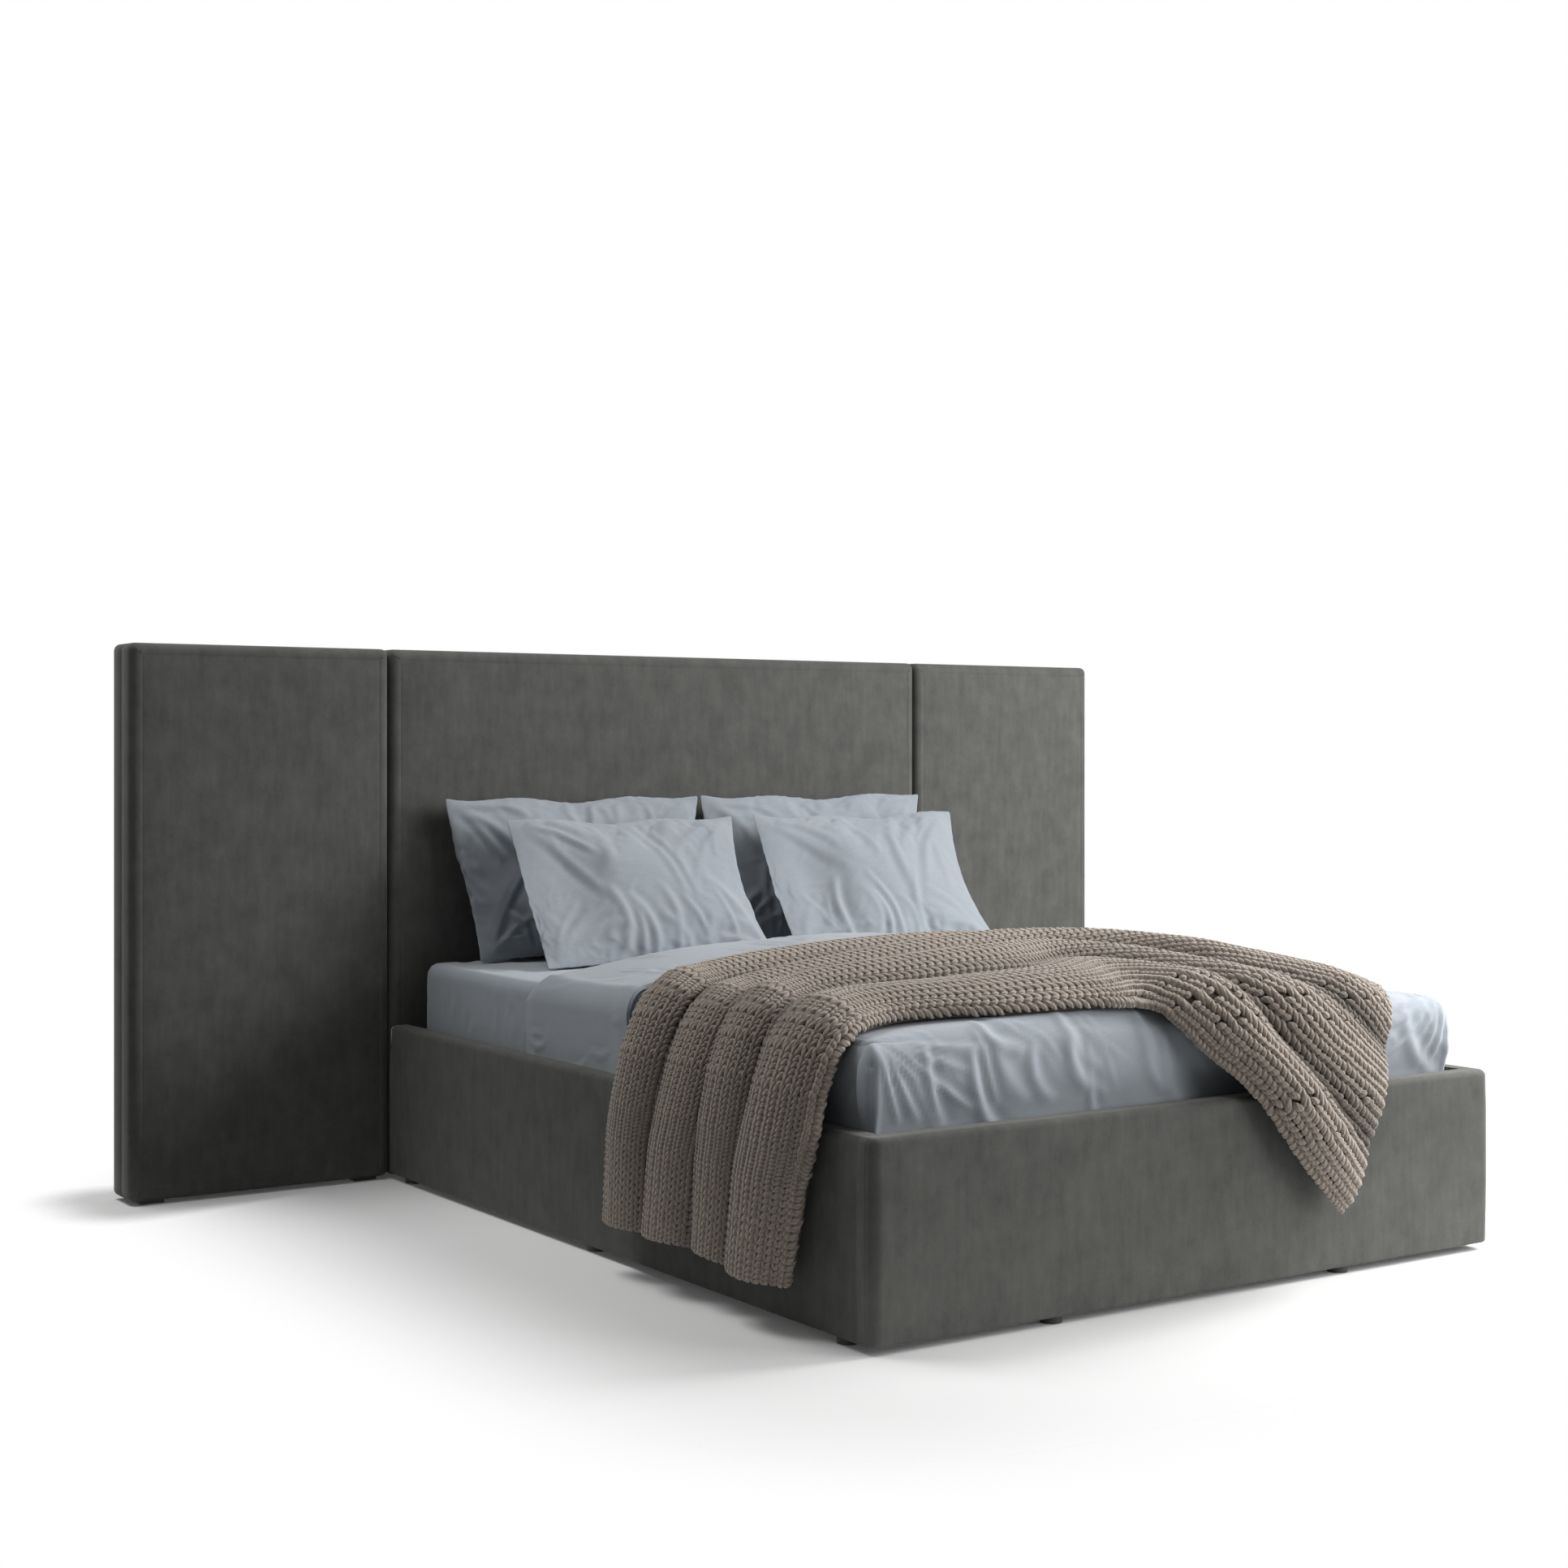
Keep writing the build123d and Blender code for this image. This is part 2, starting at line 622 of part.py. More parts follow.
# Lifting platform: a welded steel frame, sprung slats in plastic holders, a mattress stop and a strap
tube_top = platform_bottom + tube_height
hollow_low = platform_bottom + tube_wall
hollow_high = tube_top - tube_wall
with BuildPart() as platform_frame:
    block(-platform_half_width, platform_half_width, platform_head, platform_foot, platform_bottom, tube_top)
    for sign in (-1, 1):
        block(sign * tube_width / 2, sign * (platform_half_width - tube_width), platform_head + tube_width,
              platform_foot - tube_width, platform_bottom, tube_top, Mode.SUBTRACT)
        block(sign * (platform_half_width - tube_width + tube_wall), sign * (platform_half_width - tube_wall),
              platform_head, platform_foot, hollow_low, hollow_high, Mode.SUBTRACT)
    block(-tube_width / 2 + tube_wall, tube_width / 2 - tube_wall, platform_head + tube_wall,
          platform_foot - tube_wall, hollow_low, hollow_high, Mode.SUBTRACT)
    for place in (platform_head, platform_foot - tube_width):
        block(-platform_half_width + tube_wall, platform_half_width - tube_wall, place + tube_wall,
              place + tube_width - tube_wall, hollow_low, hollow_high, Mode.SUBTRACT)
save(platform_frame, "platform_frame")

slat_top = mattress_bottom
slat_bottom = slat_top - slat_thickness
slat_margin = 70
slat_pitch = (platform_foot - platform_head - 2 * slat_margin) / (slat_rows - 1)
slat_places = [platform_head + slat_margin + index * slat_pitch for index in range(slat_rows)]
slat_half = (platform_half_width - holder_lift) / 2 - 2 * holder_lift
slat_middle = platform_half_width / 2
slat_ends = []
for sign in (-1, 1):
    slat_ends.append((sign * (slat_middle - slat_half), sign))
    slat_ends.append((sign * (slat_middle + slat_half), -sign))
with BuildPart() as slats:
    with BuildSketch(Plane.XY.offset(slat_bottom)):
        with Locations(*[(sign * slat_middle, back(place)) for place in slat_places for sign in (-1, 1)]):
            Rectangle(2 * slat_half, slat_width)
    extrude(amount=slat_thickness)
save(slats, "bed_slats")


def holder_rectangles(outward, length, width):
    """One rectangle at each slat end: past the end by one length and under the slat by another."""
    for end, inward in slat_ends:
        middle = end + inward * (length - outward) / 2
        with Locations(*[(middle, back(place)) for place in slat_places]):
            Rectangle(length + outward, width)


with BuildPart() as holders:
    with BuildSketch(Plane.XY.offset(tube_top)):
        holder_rectangles(holder_lift, holder_length, slat_width + 2 * holder_lift)
    extrude(amount=slat_top_gap - holder_gap)
    with BuildSketch(Plane.XY.offset(slat_bottom)):
        holder_rectangles(holder_gap, holder_length + 1, slat_width + 2 * holder_gap)
    extrude(amount=slat_thickness, mode=Mode.SUBTRACT)
save(holders, "slat_holders")

stop_half = 150
stop_place = duvet_end + 8
stop_radius = 5
stop_low = platform_bottom + tube_height / 2
stop_top = rail_top - 20
with BuildPart() as mattress_stop:
    with BuildLine() as stop_line:
        FilletPolyline(
            (-stop_half, back(platform_foot), stop_low),
            (-stop_half, back(stop_place), stop_low),
            (-stop_half, back(stop_place), stop_top),
            (stop_half, back(stop_place), stop_top),
            (stop_half, back(stop_place), stop_low),
            (stop_half, back(platform_foot), stop_low), radius=12)
    with BuildSketch(Plane(origin=(-stop_half, back(platform_foot), stop_low), z_dir=(0, -1, 0))):
        Circle(stop_radius)
    sweep(path=stop_line.wires()[0])
save(mattress_stop, "mattress_stop")

strap_width = 40
strap_thickness = 2
strap_place = foot_inner - 10
strap_low = platform_bottom + 12
strap_top = rail_top - 6
strap_loop = 12
with BuildPart() as strap:
    with BuildSketch(Plane.YZ.offset(-strap_width / 2)):
        with Locations((back(strap_place), (strap_low + strap_top) / 2)):
            SlotOverall(strap_top - strap_low, strap_loop, rotation=90)
            SlotOverall(strap_top - strap_low - 2 * strap_thickness, strap_loop - 2 * strap_thickness,
                        rotation=90, mode=Mode.SUBTRACT)
    extrude(amount=strap_width)
    block(-strap_width / 2, strap_width / 2, platform_foot, strap_place - strap_loop / 2 + strap_thickness,
          strap_low + strap_loop, strap_low + strap_loop + strap_thickness)
save(strap, "lift_strap")


# Mattress and its fitted sheet
def mattress_form(half, head, foot, top, radius):
    """A mattress-like block with round corners and a soft top edge."""
    with BuildSketch(Plane.XY.offset(mattress_bottom)) as outline:
        with Locations((0, back((head + foot) / 2))):
            RectangleRounded(2 * half, foot - head, radius)
    extrude(outline.sketch, amount=top - mattress_bottom)


with BuildPart() as mattress:
    mattress_form(mattress_half, mattress_head, mattress_foot, mattress_top, mattress_corner)
    fillet(mattress.faces().sort_by(Axis.Z)[-1].edges(), mattress_corner / 2)
save(mattress, "mattress")

with BuildPart() as mattress_room:
    mattress_form(mattress_half + soft_gap, mattress_head - soft_gap, mattress_foot + soft_gap,
                  mattress_top + soft_gap, mattress_corner + soft_gap)
    fillet(mattress_room.faces().sort_by(Axis.Z)[-1].edges(), mattress_corner / 2 + soft_gap)

with BuildPart() as fitted_sheet:
    mattress_form(sheet_half, sheet_head, sheet_foot, sheet_top, mattress_corner + sheet + soft_gap)
    fillet(fitted_sheet.faces().sort_by(Axis.Z)[-1].edges(), mattress_corner / 2 + sheet + soft_gap)
    add(mattress_room.part, mode=Mode.SUBTRACT)
save(fitted_sheet, "fitted_sheet")

# Duvet: crowned across the bed, thinner to the foot, its sides and foot tucked down beside the mattress.
# Each station is a share of the duvet's length, and how far its crown and its shoulder rise above the sheet.
duvet_stations = (
    (0, 58.5, 7.5),
    (0.045, 74.5, 9.5),
    (0.26, 76.5, 9.5),
    (0.55, 72.5, 8.5),
    (0.8, 52.5, 6.5),
    (0.97, 30.5, 5.5),
)
duvet_end_rises = (6.5, -5.5)
shoulder_drop = 28
shoulder_width = 32
shoulder_turn = 0.3
duvet_lift = 5
duvet_bottom = mattress_bottom + duvet_lift


def duvet_section(place, crown_rise, shoulder_rise, grow):
    """The duvet's outline across the bed, grown outwards by a layer on top of it."""
    half = duvet_half + grow
    crown = sheet_top + crown_rise
    shoulder = sheet_top + shoulder_rise
    shoulder_half = duvet_half - shoulder_width
    side_top = shoulder - shoulder_drop
    turn = shoulder - shoulder_turn * shoulder_drop + grow
    turn_half = half - shoulder_turn * shoulder_width
    middle = (0, crown + grow)
    left = (-shoulder_half, shoulder + grow)
    right = (shoulder_half, shoulder + grow)
    with BuildSketch(Plane.XZ.offset(-back(place))) as outline:
        with BuildLine():
            Line((-half, duvet_bottom), (-half, side_top))
            ThreePointArc((-half, side_top), (-turn_half, turn), left)
            ThreePointArc(left, middle, right)
            ThreePointArc(right, (turn_half, turn), (half, side_top))
            Line((half, side_top), (half, duvet_bottom))
            Line((half, duvet_bottom), (-half, duvet_bottom))
        make_face()
    return outline.sketch.faces()[0]


def duvet_faces(grow):
    """Sections of the duvet's outer form, or of a layer that lies on it."""
    faces = []
    for share, crown_rise, shoulder_rise in duvet_stations:
        place = duvet_start + share * (duvet_end - duvet_start)
        faces.append(duvet_section(place, crown_rise, shoulder_rise, grow))
    faces.append(duvet_section(duvet_end + grow, *duvet_end_rises, grow))
    return faces


with BuildPart() as sheet_room:
    mattress_form(sheet_half + soft_gap, sheet_head - soft_gap, sheet_foot + soft_gap,
                  sheet_top + soft_gap, mattress_corner + sheet + 2 * soft_gap)
    fillet(sheet_room.faces().sort_by(Axis.Z)[-1].edges(), mattress_corner / 2 + sheet + 2 * soft_gap)

with BuildPart() as duvet:
    loft(duvet_faces(0), ruled=True)
    add(sheet_room.part, mode=Mode.SUBTRACT)
save(duvet, "duvet")

# Throw: a band over the duvet that hangs in folds over the left rail and, in a point, over the foot rail.
# The band's outline on top of the bed is in x and distance from the foot rail's outer face.
throw_outline = (
    (-duvet_half - 18, 985), (-duvet_half + 218, 925), (-duvet_half + 552, 1020), (130, 1120), (450, 1200),
    (duvet_half - 202, 1165), (duvet_half - 130, 950), (duvet_half - 72, 650), (duvet_half - 37, 350),
    (duvet_half - 102, 200), (500, 50), (70, 50), (40, 190), (-60, 290),
    (-duvet_half + 502, 390), (-duvet_half + 282, 415), (-duvet_half + 131, 335), (-duvet_half - 18, 195),
)
throw_low = sheet_top - 17.5
throw_band_height = 200
side_fold_count = 4
foot_fold_count = 3
side_hem = 115
foot_hem = 145
# Each side station is a height, how far outside the rail's outer face the cloth lies between its folds, the
# fold depth, and the two edges as distances from the foot rail's outer face.
side_stations = (
    (sheet_top + 22.5, -75, 8, 975, 205),
    (sheet_top + 2.5, -43, 14, 980, 200),
    (sheet_top - 25.5, -23, 20, 985, 195),
    (rail_top + 68, 13, 26, 990, 195),
    (rail_top, 29, 28, 985, 200),
    (rail_top - 102, 33, 30, 965, 210),
    (side_hem, 37, 30, 935, 230),
)
# Each foot station is a height, how far outside the foot rail the cloth lies, the fold depth and the
# two edges in x.
foot_stations = (
    (sheet_top + 24.5, -88, 8, 90, 490),
    (sheet_top + 4.5, -58, 12, 85, 500),
    (sheet_top - 35.5, -34, 16, 80, 510),
    (rail_top + 68, 0, 18, 75, 515),
    (rail_top, 22, 18, 100, 505),
    (rail_top - 102, 28, 16, 165, 470),
    (foot_hem, 32, 6, 290, 368),
)
# The folds run on over the bed, gather near its middle and spread again to the right. Each place along a fold
# is x as a share of the duvet's half width, the distance from the foot rail's outer face, half the fold's
# width and how far it rises.
fold_sink = 14
top_folds = (
    ((-0.985, 858, 94, 12), (-0.86, 852, 92, 24), (-0.56, 848, 88, 30), (-0.25, 834, 84, 30),
     (0.075, 826, 84, 34), (0.405, 850, 100, 32), (0.65, 830, 118, 24), (0.8, 760, 110, 12)),
    ((-0.985, 680, 94, 12), (-0.86, 668, 92, 24), (-0.56, 670, 90, 32), (-0.25, 666, 88, 32),
     (0.05, 668, 86, 36), (0.33, 640, 100, 34), (0.53, 555, 116, 30), (0.76, 400, 130, 14)),
    ((-0.985, 500, 94, 12), (-0.86, 490, 92, 24), (-0.56, 476, 94, 32), (-0.25, 458, 96, 32),
     (0, 500, 90, 36), (0.22, 415, 100, 34), (0.38, 275, 112, 28), (0.5, 130, 122, 12)),
    ((-0.985, 300, 94, 12), (-0.86, 300, 96, 22), (-0.7, 270, 100, 26), (-0.525, 255, 104, 24),
     (-0.25, 230, 110, 26), (-0.05, 250, 104, 30), (0.11, 170, 100, 24), (0.24, 90, 96, 12)),
)


def fold_points(start, end, count, depth):
    """Points along one edge of folded cloth: ends of the folds, and their middles, as (along, out)."""
    pitch = (end - start) / (2 * count)
    ends = [(start + 2 * index * pitch, 0) for index in range(count + 1)]
    middles = [(start + (2 * index + 1) * pitch, depth) for index in range(count)]
    return ends, middles


def folded_strip(height, place_point, start, end, count, depth):
    """A closed strip of folded cloth at one height, as a face."""
    ends, middles = fold_points(start, end, count, depth)
    half = throw_thickness / 2
    with BuildSketch(Plane.XY.offset(height)) as outline:
        with BuildLine():
            for shift in (-half, half):
                for index in range(count):
                    ThreePointArc(
                        place_point(ends[index][0], ends[index][1] + shift),
                        place_point(middles[index][0], middles[index][1] + shift),
                        place_point(ends[index + 1][0], ends[index + 1][1] + shift))
            Line(place_point(start, -half), place_point(start, half))
            Line(place_point(end, -half), place_point(end, half))
        make_face()
    return outline.sketch.faces()[0]


def duvet_height(x, place):
    """Height of the duvet's top at a place, by its distance from the headboard's face."""
    share = (place - duvet_start) / (duvet_end - duvet_start)
    across = 1 - (x / (duvet_half - shoulder_width)) ** 2
    height = sheet_top
    for near, far in zip(duvet_stations, duvet_stations[1:]):
        if share >= near[0]:
            part = (share - near[0]) / (far[0] - near[0])
            crown_rise = near[1] + part * (far[1] - near[1])
            shoulder_rise = near[2] + part * (far[2] - near[2])
            height = sheet_top + shoulder_rise + across * (crown_rise - shoulder_rise)
    return height


def top_fold_section(fold, index):
    """An arched section of a fold that lies on the bed, square to its course, as a face."""
    share, from_foot, half, rise = fold[index]
    x = share * duvet_half
    before = fold[max(index - 1, 0)]
    after = fold[min(index + 1, len(fold) - 1)]
    course = ((after[0] - before[0]) * duvet_half, after[1] - before[1])
    height = duvet_height(x, bed_length - from_foot) + soft_gap + throw_thickness
    plane = Plane(origin=(x, back(bed_length - from_foot), height),
                  x_dir=(-course[1], course[0], 0), z_dir=(course[0], course[1], 0))
    with BuildSketch(plane) as outline:
        with BuildLine():
            ThreePointArc((-half, -fold_sink), (0, rise), (half, -fold_sink))
            Line((half, -fold_sink), (-half, -fold_sink))
        make_face()
    return outline.sketch.faces()[0]


with BuildPart() as throw_room:
    loft(duvet_faces(soft_gap), ruled=True)

with BuildPart() as throw:
    loft(duvet_faces(soft_gap + throw_thickness), ruled=True)
    for fold in top_folds:
        loft([top_fold_section(fold, index) for index in range(len(fold))], ruled=True)
    with BuildSketch(Plane.XY.offset(throw_low)) as band:
        with BuildLine():
            Polyline(*[(x, back(bed_length - place)) for x, place in throw_outline], close=True)
        make_face()
    extrude(band.sketch, amount=throw_band_height, mode=Mode.INTERSECT)
    add(throw_room.part, mode=Mode.SUBTRACT)
    side_faces = []
    for height, outside, depth, near, far in side_stations:
        side_faces.append(folded_strip(
            height, lambda along, out: (-(outer_half + outside + out), back(along)),
            bed_length - near, bed_length - far, side_fold_count, depth))
    loft(side_faces, ruled=True)
    foot_faces = []
    for height, outside, depth, low, high in foot_stations:
        foot_faces.append(folded_strip(
            height, lambda along, out: (along, back(bed_length + outside + out)),
            low, high, foot_fold_count, depth))
    loft(foot_faces, ruled=True)
save(throw, "throw")


# Pillows: crowned in the middle, with sides drawn in between the corners, leaning on the headboard
def pillow_section(x, base, lean, height, thickness, drawn_in):
    """A lens-shaped section of a pillow across its width."""
    up = (0, sin(radians(lean)), cos(radians(lean)))
    plane = Plane(origin=(x, base[0], base[1]), x_dir=up, z_dir=(1, 0, 0))
    with BuildSketch(plane) as outline:
        with BuildLine():
            low = (drawn_in, 0)
            high = (height - drawn_in, 0)
            ThreePointArc(low, (height / 2, thickness / 2), high)
            ThreePointArc(high, (height / 2, -thickness / 2), low)
        make_face()
    return outline.sketch.faces()[0]


pillow_shape = ((0, 0.09, 0), (0.12, 0.5, 6), (0.32, 0.9, 14), (0.5, 1, 16),
                (0.68, 0.9, 14), (0.88, 0.5, 6), (1, 0.09, 0))
pillow_base = sheet_top + pillow_gap
pillows = (
    ("pillow_back_left", -348, 760, back_pillow_place, back_pillow_lean, back_pillow_height,
     back_pillow_thickness),
    ("pillow_back_right", 428, 750, back_pillow_place, back_pillow_lean, back_pillow_height,
     back_pillow_thickness),
    ("pillow_front_left", -285, 676, front_pillow_place, front_pillow_lean, front_pillow_height,
     front_pillow_thickness),
    ("pillow_front_right", 472, 676, front_pillow_place, front_pillow_lean, front_pillow_height,
     front_pillow_thickness),
)
for name, middle, width, place, lean, height, thickness in pillows:
    base = (back(place), pillow_base)
    with BuildPart() as pillow:
        loft([pillow_section(middle + (share - 0.5) * width, base, lean, height, thickness * fill, drawn_in)
              for share, fill, drawn_in in pillow_shape])
    save(pillow, name)
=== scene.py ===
import json
from math import cos, pi, radians, sin

import bmesh
import bpy
import numpy as np
from bpy.props import FloatProperty, FloatVectorProperty, IntProperty, PointerProperty
from bpy.types import Operator, Panel, PropertyGroup
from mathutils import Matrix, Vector


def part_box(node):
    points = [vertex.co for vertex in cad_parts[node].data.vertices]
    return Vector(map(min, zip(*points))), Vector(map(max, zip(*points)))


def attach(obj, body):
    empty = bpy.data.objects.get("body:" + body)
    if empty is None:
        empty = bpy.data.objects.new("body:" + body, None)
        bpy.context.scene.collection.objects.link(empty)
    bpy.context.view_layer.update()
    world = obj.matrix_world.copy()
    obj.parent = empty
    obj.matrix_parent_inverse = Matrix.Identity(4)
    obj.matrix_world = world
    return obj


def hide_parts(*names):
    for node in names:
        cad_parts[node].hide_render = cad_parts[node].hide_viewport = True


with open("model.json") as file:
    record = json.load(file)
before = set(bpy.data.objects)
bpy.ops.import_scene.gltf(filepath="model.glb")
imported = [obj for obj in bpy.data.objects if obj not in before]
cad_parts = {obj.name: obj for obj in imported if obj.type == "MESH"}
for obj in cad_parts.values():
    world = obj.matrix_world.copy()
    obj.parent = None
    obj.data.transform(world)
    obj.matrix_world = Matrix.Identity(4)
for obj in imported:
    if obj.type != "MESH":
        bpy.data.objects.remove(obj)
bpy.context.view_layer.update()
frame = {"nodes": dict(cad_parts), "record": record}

bl_info = {
    "name": "Upholstered bed",
    "version": (1, 0, 0),
    "blender": (4, 5, 0),
    "location": "View3D > Sidebar > Bed",
    "description": "Dresses a storage bed with padded headboard panels, bedding and a knitted throw",
    "category": "Object",
}

MILLIMETRE = 0.001
# Distance from a panel's or a rail's edge over which its padding swells, and the height of its slack waves
PANEL_SWELL = 0.16
PANEL_SLACK = 0.0012
RAIL_SWELL = 0.12
RAIL_SLACK = 0.0005
# Rise of the duvet's crown and of its shoulder above the sheet, at shares of its length from the head
DUVET_CROWN = ((0.0, 0.045, 0.26, 0.55, 0.8, 0.97, 1.0), (0.0585, 0.0745, 0.0765, 0.0725, 0.0525, 0.0305, 0.018))
DUVET_SHOULDER = ((0.0, 0.26, 0.8, 1.0), (0.0075, 0.0095, 0.0065, 0.0))
# How far the duvet's shoulder lies inside its side
SHOULDER_WIDTH = 0.032
# A crease is a ridge with a furrow beside it. Shares of the ridge's width: how far its line bows, where the
# furrow lies and how wide it is. The furrow's depth is a share of the ridge's height.
CREASE_BOW = 1.6
FURROW_PLACE = 1.7
FURROW_WIDTH = 1.2
FURROW_DEPTH = 0.6
# Greatest height of a crease in the tight sheet, and what the quilting of the mattress measures
SHEET_SLACK = 0.0015
QUILT_WAVES = 26.0
QUILT_DEPTH = 0.003
# Mesh sizes: grids are columns by rows
TURN_DOWN_GRID = (230, 60)
PILLOW_GRID = (60, 38)
BACKING_GRID = (96, 150)
THROW_NET = (300, 220)
# A pillow's two cloths: the gap between them at first, the steps in which they are blown up, and how
PILLOW_GAP = 0.006
PILLOW_STEPS = 26
PILLOW_CLOTH = {"quality": 6, "mass": 0.25, "tension_stiffness": 22, "compression_stiffness": 18,
                "shear_stiffness": 9, "bending_stiffness": 0.35, "use_pressure": True,
                "uniform_pressure_force": 3.6, "air_damping": 2.0}
# How much wider than its solid a pillow is made
PILLOW_SPARE = 1.02
# How far the lower left corner of a back pillow is tucked in
PILLOW_TUCKS = {"pillow_back_left": 0.055, "pillow_back_right": 0.03}
# A stitch's leg: at each ring its place along the throw and across the stitch, its rise and its swell, the
# first two as shares of a stitch and the others of the yarn's radius
STITCH_RINGS = ((-0.62, 0.03, 0.0, 0.5), (-0.27, 0.13, 0.7, 1.0), (0.2, 0.26, 1.0, 1.08), (0.66, 0.39, 0.5, 0.88),
                (0.98, 0.46, -0.2, 0.4))
YARN_SIDES = 6
STITCH_BANDS = 6

# Places read from the frame, in metres

def low_corner(node):
    """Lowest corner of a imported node."""
    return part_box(node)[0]


def high_corner(node):
    """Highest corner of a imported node."""
    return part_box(node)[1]


HEAD_FACE = low_corner("headboard_center_cover").y
RAIL_TOP = high_corner("foot_rail_cover").z
RAIL_OUTER = high_corner("side_rail_right_cover").x
RAIL_INNER = low_corner("side_rail_right_cover").x
FOOT_FACE = low_corner("foot_rail_cover").y
FOOT_INNER = high_corner("foot_rail_cover").y
SHEET_TOP = high_corner("fitted_sheet").z
DUVET_HALF = high_corner("duvet").x
DUVET_HEAD = high_corner("duvet").y
DUVET_FOOT = low_corner("duvet").y


# Node trees written as expressions

class Value:
    """A socket of a material, with arithmetic that adds Math nodes."""

    def __init__(self, tree, socket):
        self.tree = tree
        self.socket = socket

    def math(self, operation, *others):
        """One Math node with this socket as its first value."""
        node = self.tree.nodes.new("ShaderNodeMath")
        node.operation = operation
        self.tree.links.new(self.socket, node.inputs[0])
        for index, other in enumerate(others, 1):
            feed(self.tree, other, node.inputs[index])
        return Value(self.tree, node.outputs[0])

    def __add__(self, other):
        return self.math("ADD", other)

    __radd__ = __add__

    def __sub__(self, other):
        return self.math("SUBTRACT", other)

    def __rsub__(self, other):
        return self.math("MULTIPLY", -1.0).math("ADD", other)

    def __mul__(self, other):
        return self.math("MULTIPLY", other)

    __rmul__ = __mul__

    def __truediv__(self, other):
        return self.math("DIVIDE", other)

    def __pow__(self, other):
        return self.math("POWER", other)

    def clamped(self):
        """The value held between 0 and 1."""
        return self.math("MAXIMUM", 0.0).math("MINIMUM", 1.0)

    def eased(self):
        """A value from 0 to 1 with soft ends."""
        return self * self * (3.0 - 2.0 * self)


def feed(tree, value, socket):
    """Links a value to a socket, or sets the socket where the value is a number or a tuple."""
    if isinstance(value, Value):
        tree.links.new(value.socket, socket)
    else:
        socket.default_value = value


class Finish:
    """A procedural material round one Principled shader."""

    def __init__(self, name, **constants):
        self.material = bpy.data.materials.new(name)
        self.material.use_nodes = True
        self.tree = self.material.node_tree
        self.shader = next(n for n in self.tree.nodes if n.type == "BSDF_PRINCIPLED")
        for socket, value in constants.items():
            self.shader.inputs[socket.replace("_", " ")].default_value = value
        place = self.tree.nodes.new("ShaderNodeTexCoord")
        self.object_place = Value(self.tree, place.outputs["Object"])
        self.uv_place = Value(self.tree, place.outputs["UV"])

    def node(self, kind, settings=None, output=0, **values):
        """Any node: its settings first, then its sockets by name, then the output asked for."""
        node = self.tree.nodes.new(kind)
        for key, value in (settings or {}).items():
            setattr(node, key, value)
        for key, value in values.items():
            feed(self.tree, value, node.inputs[key.replace("_", " ")])
        return Value(self.tree, node.outputs[output])

    def stretched(self, place, scale, turn=(0, 0, 0)):
        """A place scaled along its three axes."""
        return self.node("ShaderNodeMapping", Vector=place, Scale=scale, Rotation=turn)

    def noise(self, place, scale, detail=3.0, rough=0.5):
        """Grey noise between about 0 and 1."""
        return self.node("ShaderNodeTexNoise", Vector=place, Scale=scale, Detail=detail, Roughness=rough)

    def waves(self, place, scale, distortion=0.0, axis="X"):
        """Bands along one axis."""
        settings = {"wave_type": "BANDS", "bands_direction": axis}
        return self.node("ShaderNodeTexWave", settings, 1, Vector=place, Scale=scale, Distortion=distortion)

    def blend(self, share, first, second):
        """A colour between two colours."""
        node = self.tree.nodes.new("ShaderNodeMix")
        node.data_type = "RGBA"
        feed(self.tree, share, node.inputs[0])
        feed(self.tree, first, node.inputs[6])
        feed(self.tree, second, node.inputs[7])
        return Value(self.tree, node.outputs[2])

    def bump(self, height, distance, strength=1.0):
        """Feeds a height into the shader's normal."""
        normal = self.node("ShaderNodeBump", Height=height, Distance=distance, Strength=strength)
        self.set(Normal=normal)

    def set(self, **values):
        """Feeds the shader's own sockets."""
        for key, value in values.items():
            feed(self.tree, value, self.shader.inputs[key.replace("_", " ")])

    def made(self, tone, rough, height, distance, strength=1.0):
        """The material, once its colour, its roughness and its relief are fed in."""
        self.set(Base_Color=tone, Roughness=rough.clamped())
        self.bump(height, distance, strength)
        return self.material


def shade(colour, factor):
    """A colour made lighter or darker."""
    return tuple(min(1.0, channel * factor) for channel in colour[:3]) + (1.0,)


FINISHES = {}


def velvet_finish(name, colour):
    """Short-pile upholstery cloth with brushed streaks and cloudy patches."""
    finish = Finish(name, Sheen_Weight=0.25, Sheen_Roughness=0.35, Specular_IOR_Level=0.2)
    finish.shader.inputs["Sheen Tint"].default_value = (0.8, 0.8, 0.76, 1.0)
    place = finish.object_place
    clouds = finish.noise(place, 13.0, 6.0, 0.66)
    streaks = finish.noise(finish.stretched(place, (46.0, 46.0, 9.0)), 1.0, 4.0, 0.65)
    grain = finish.noise(place, 420.0, 2.0, 0.6)
    mottle = (clouds * 0.85 + streaks * 0.6 + grain * 0.4 - 0.42).clamped()
    tone = finish.blend(mottle, shade(colour, 0.55), shade(colour, 1.45))
    return finish.made(tone, 0.98 - clouds * 0.16, grain * 0.6 + streaks * 0.4, 0.0008, 0.5)


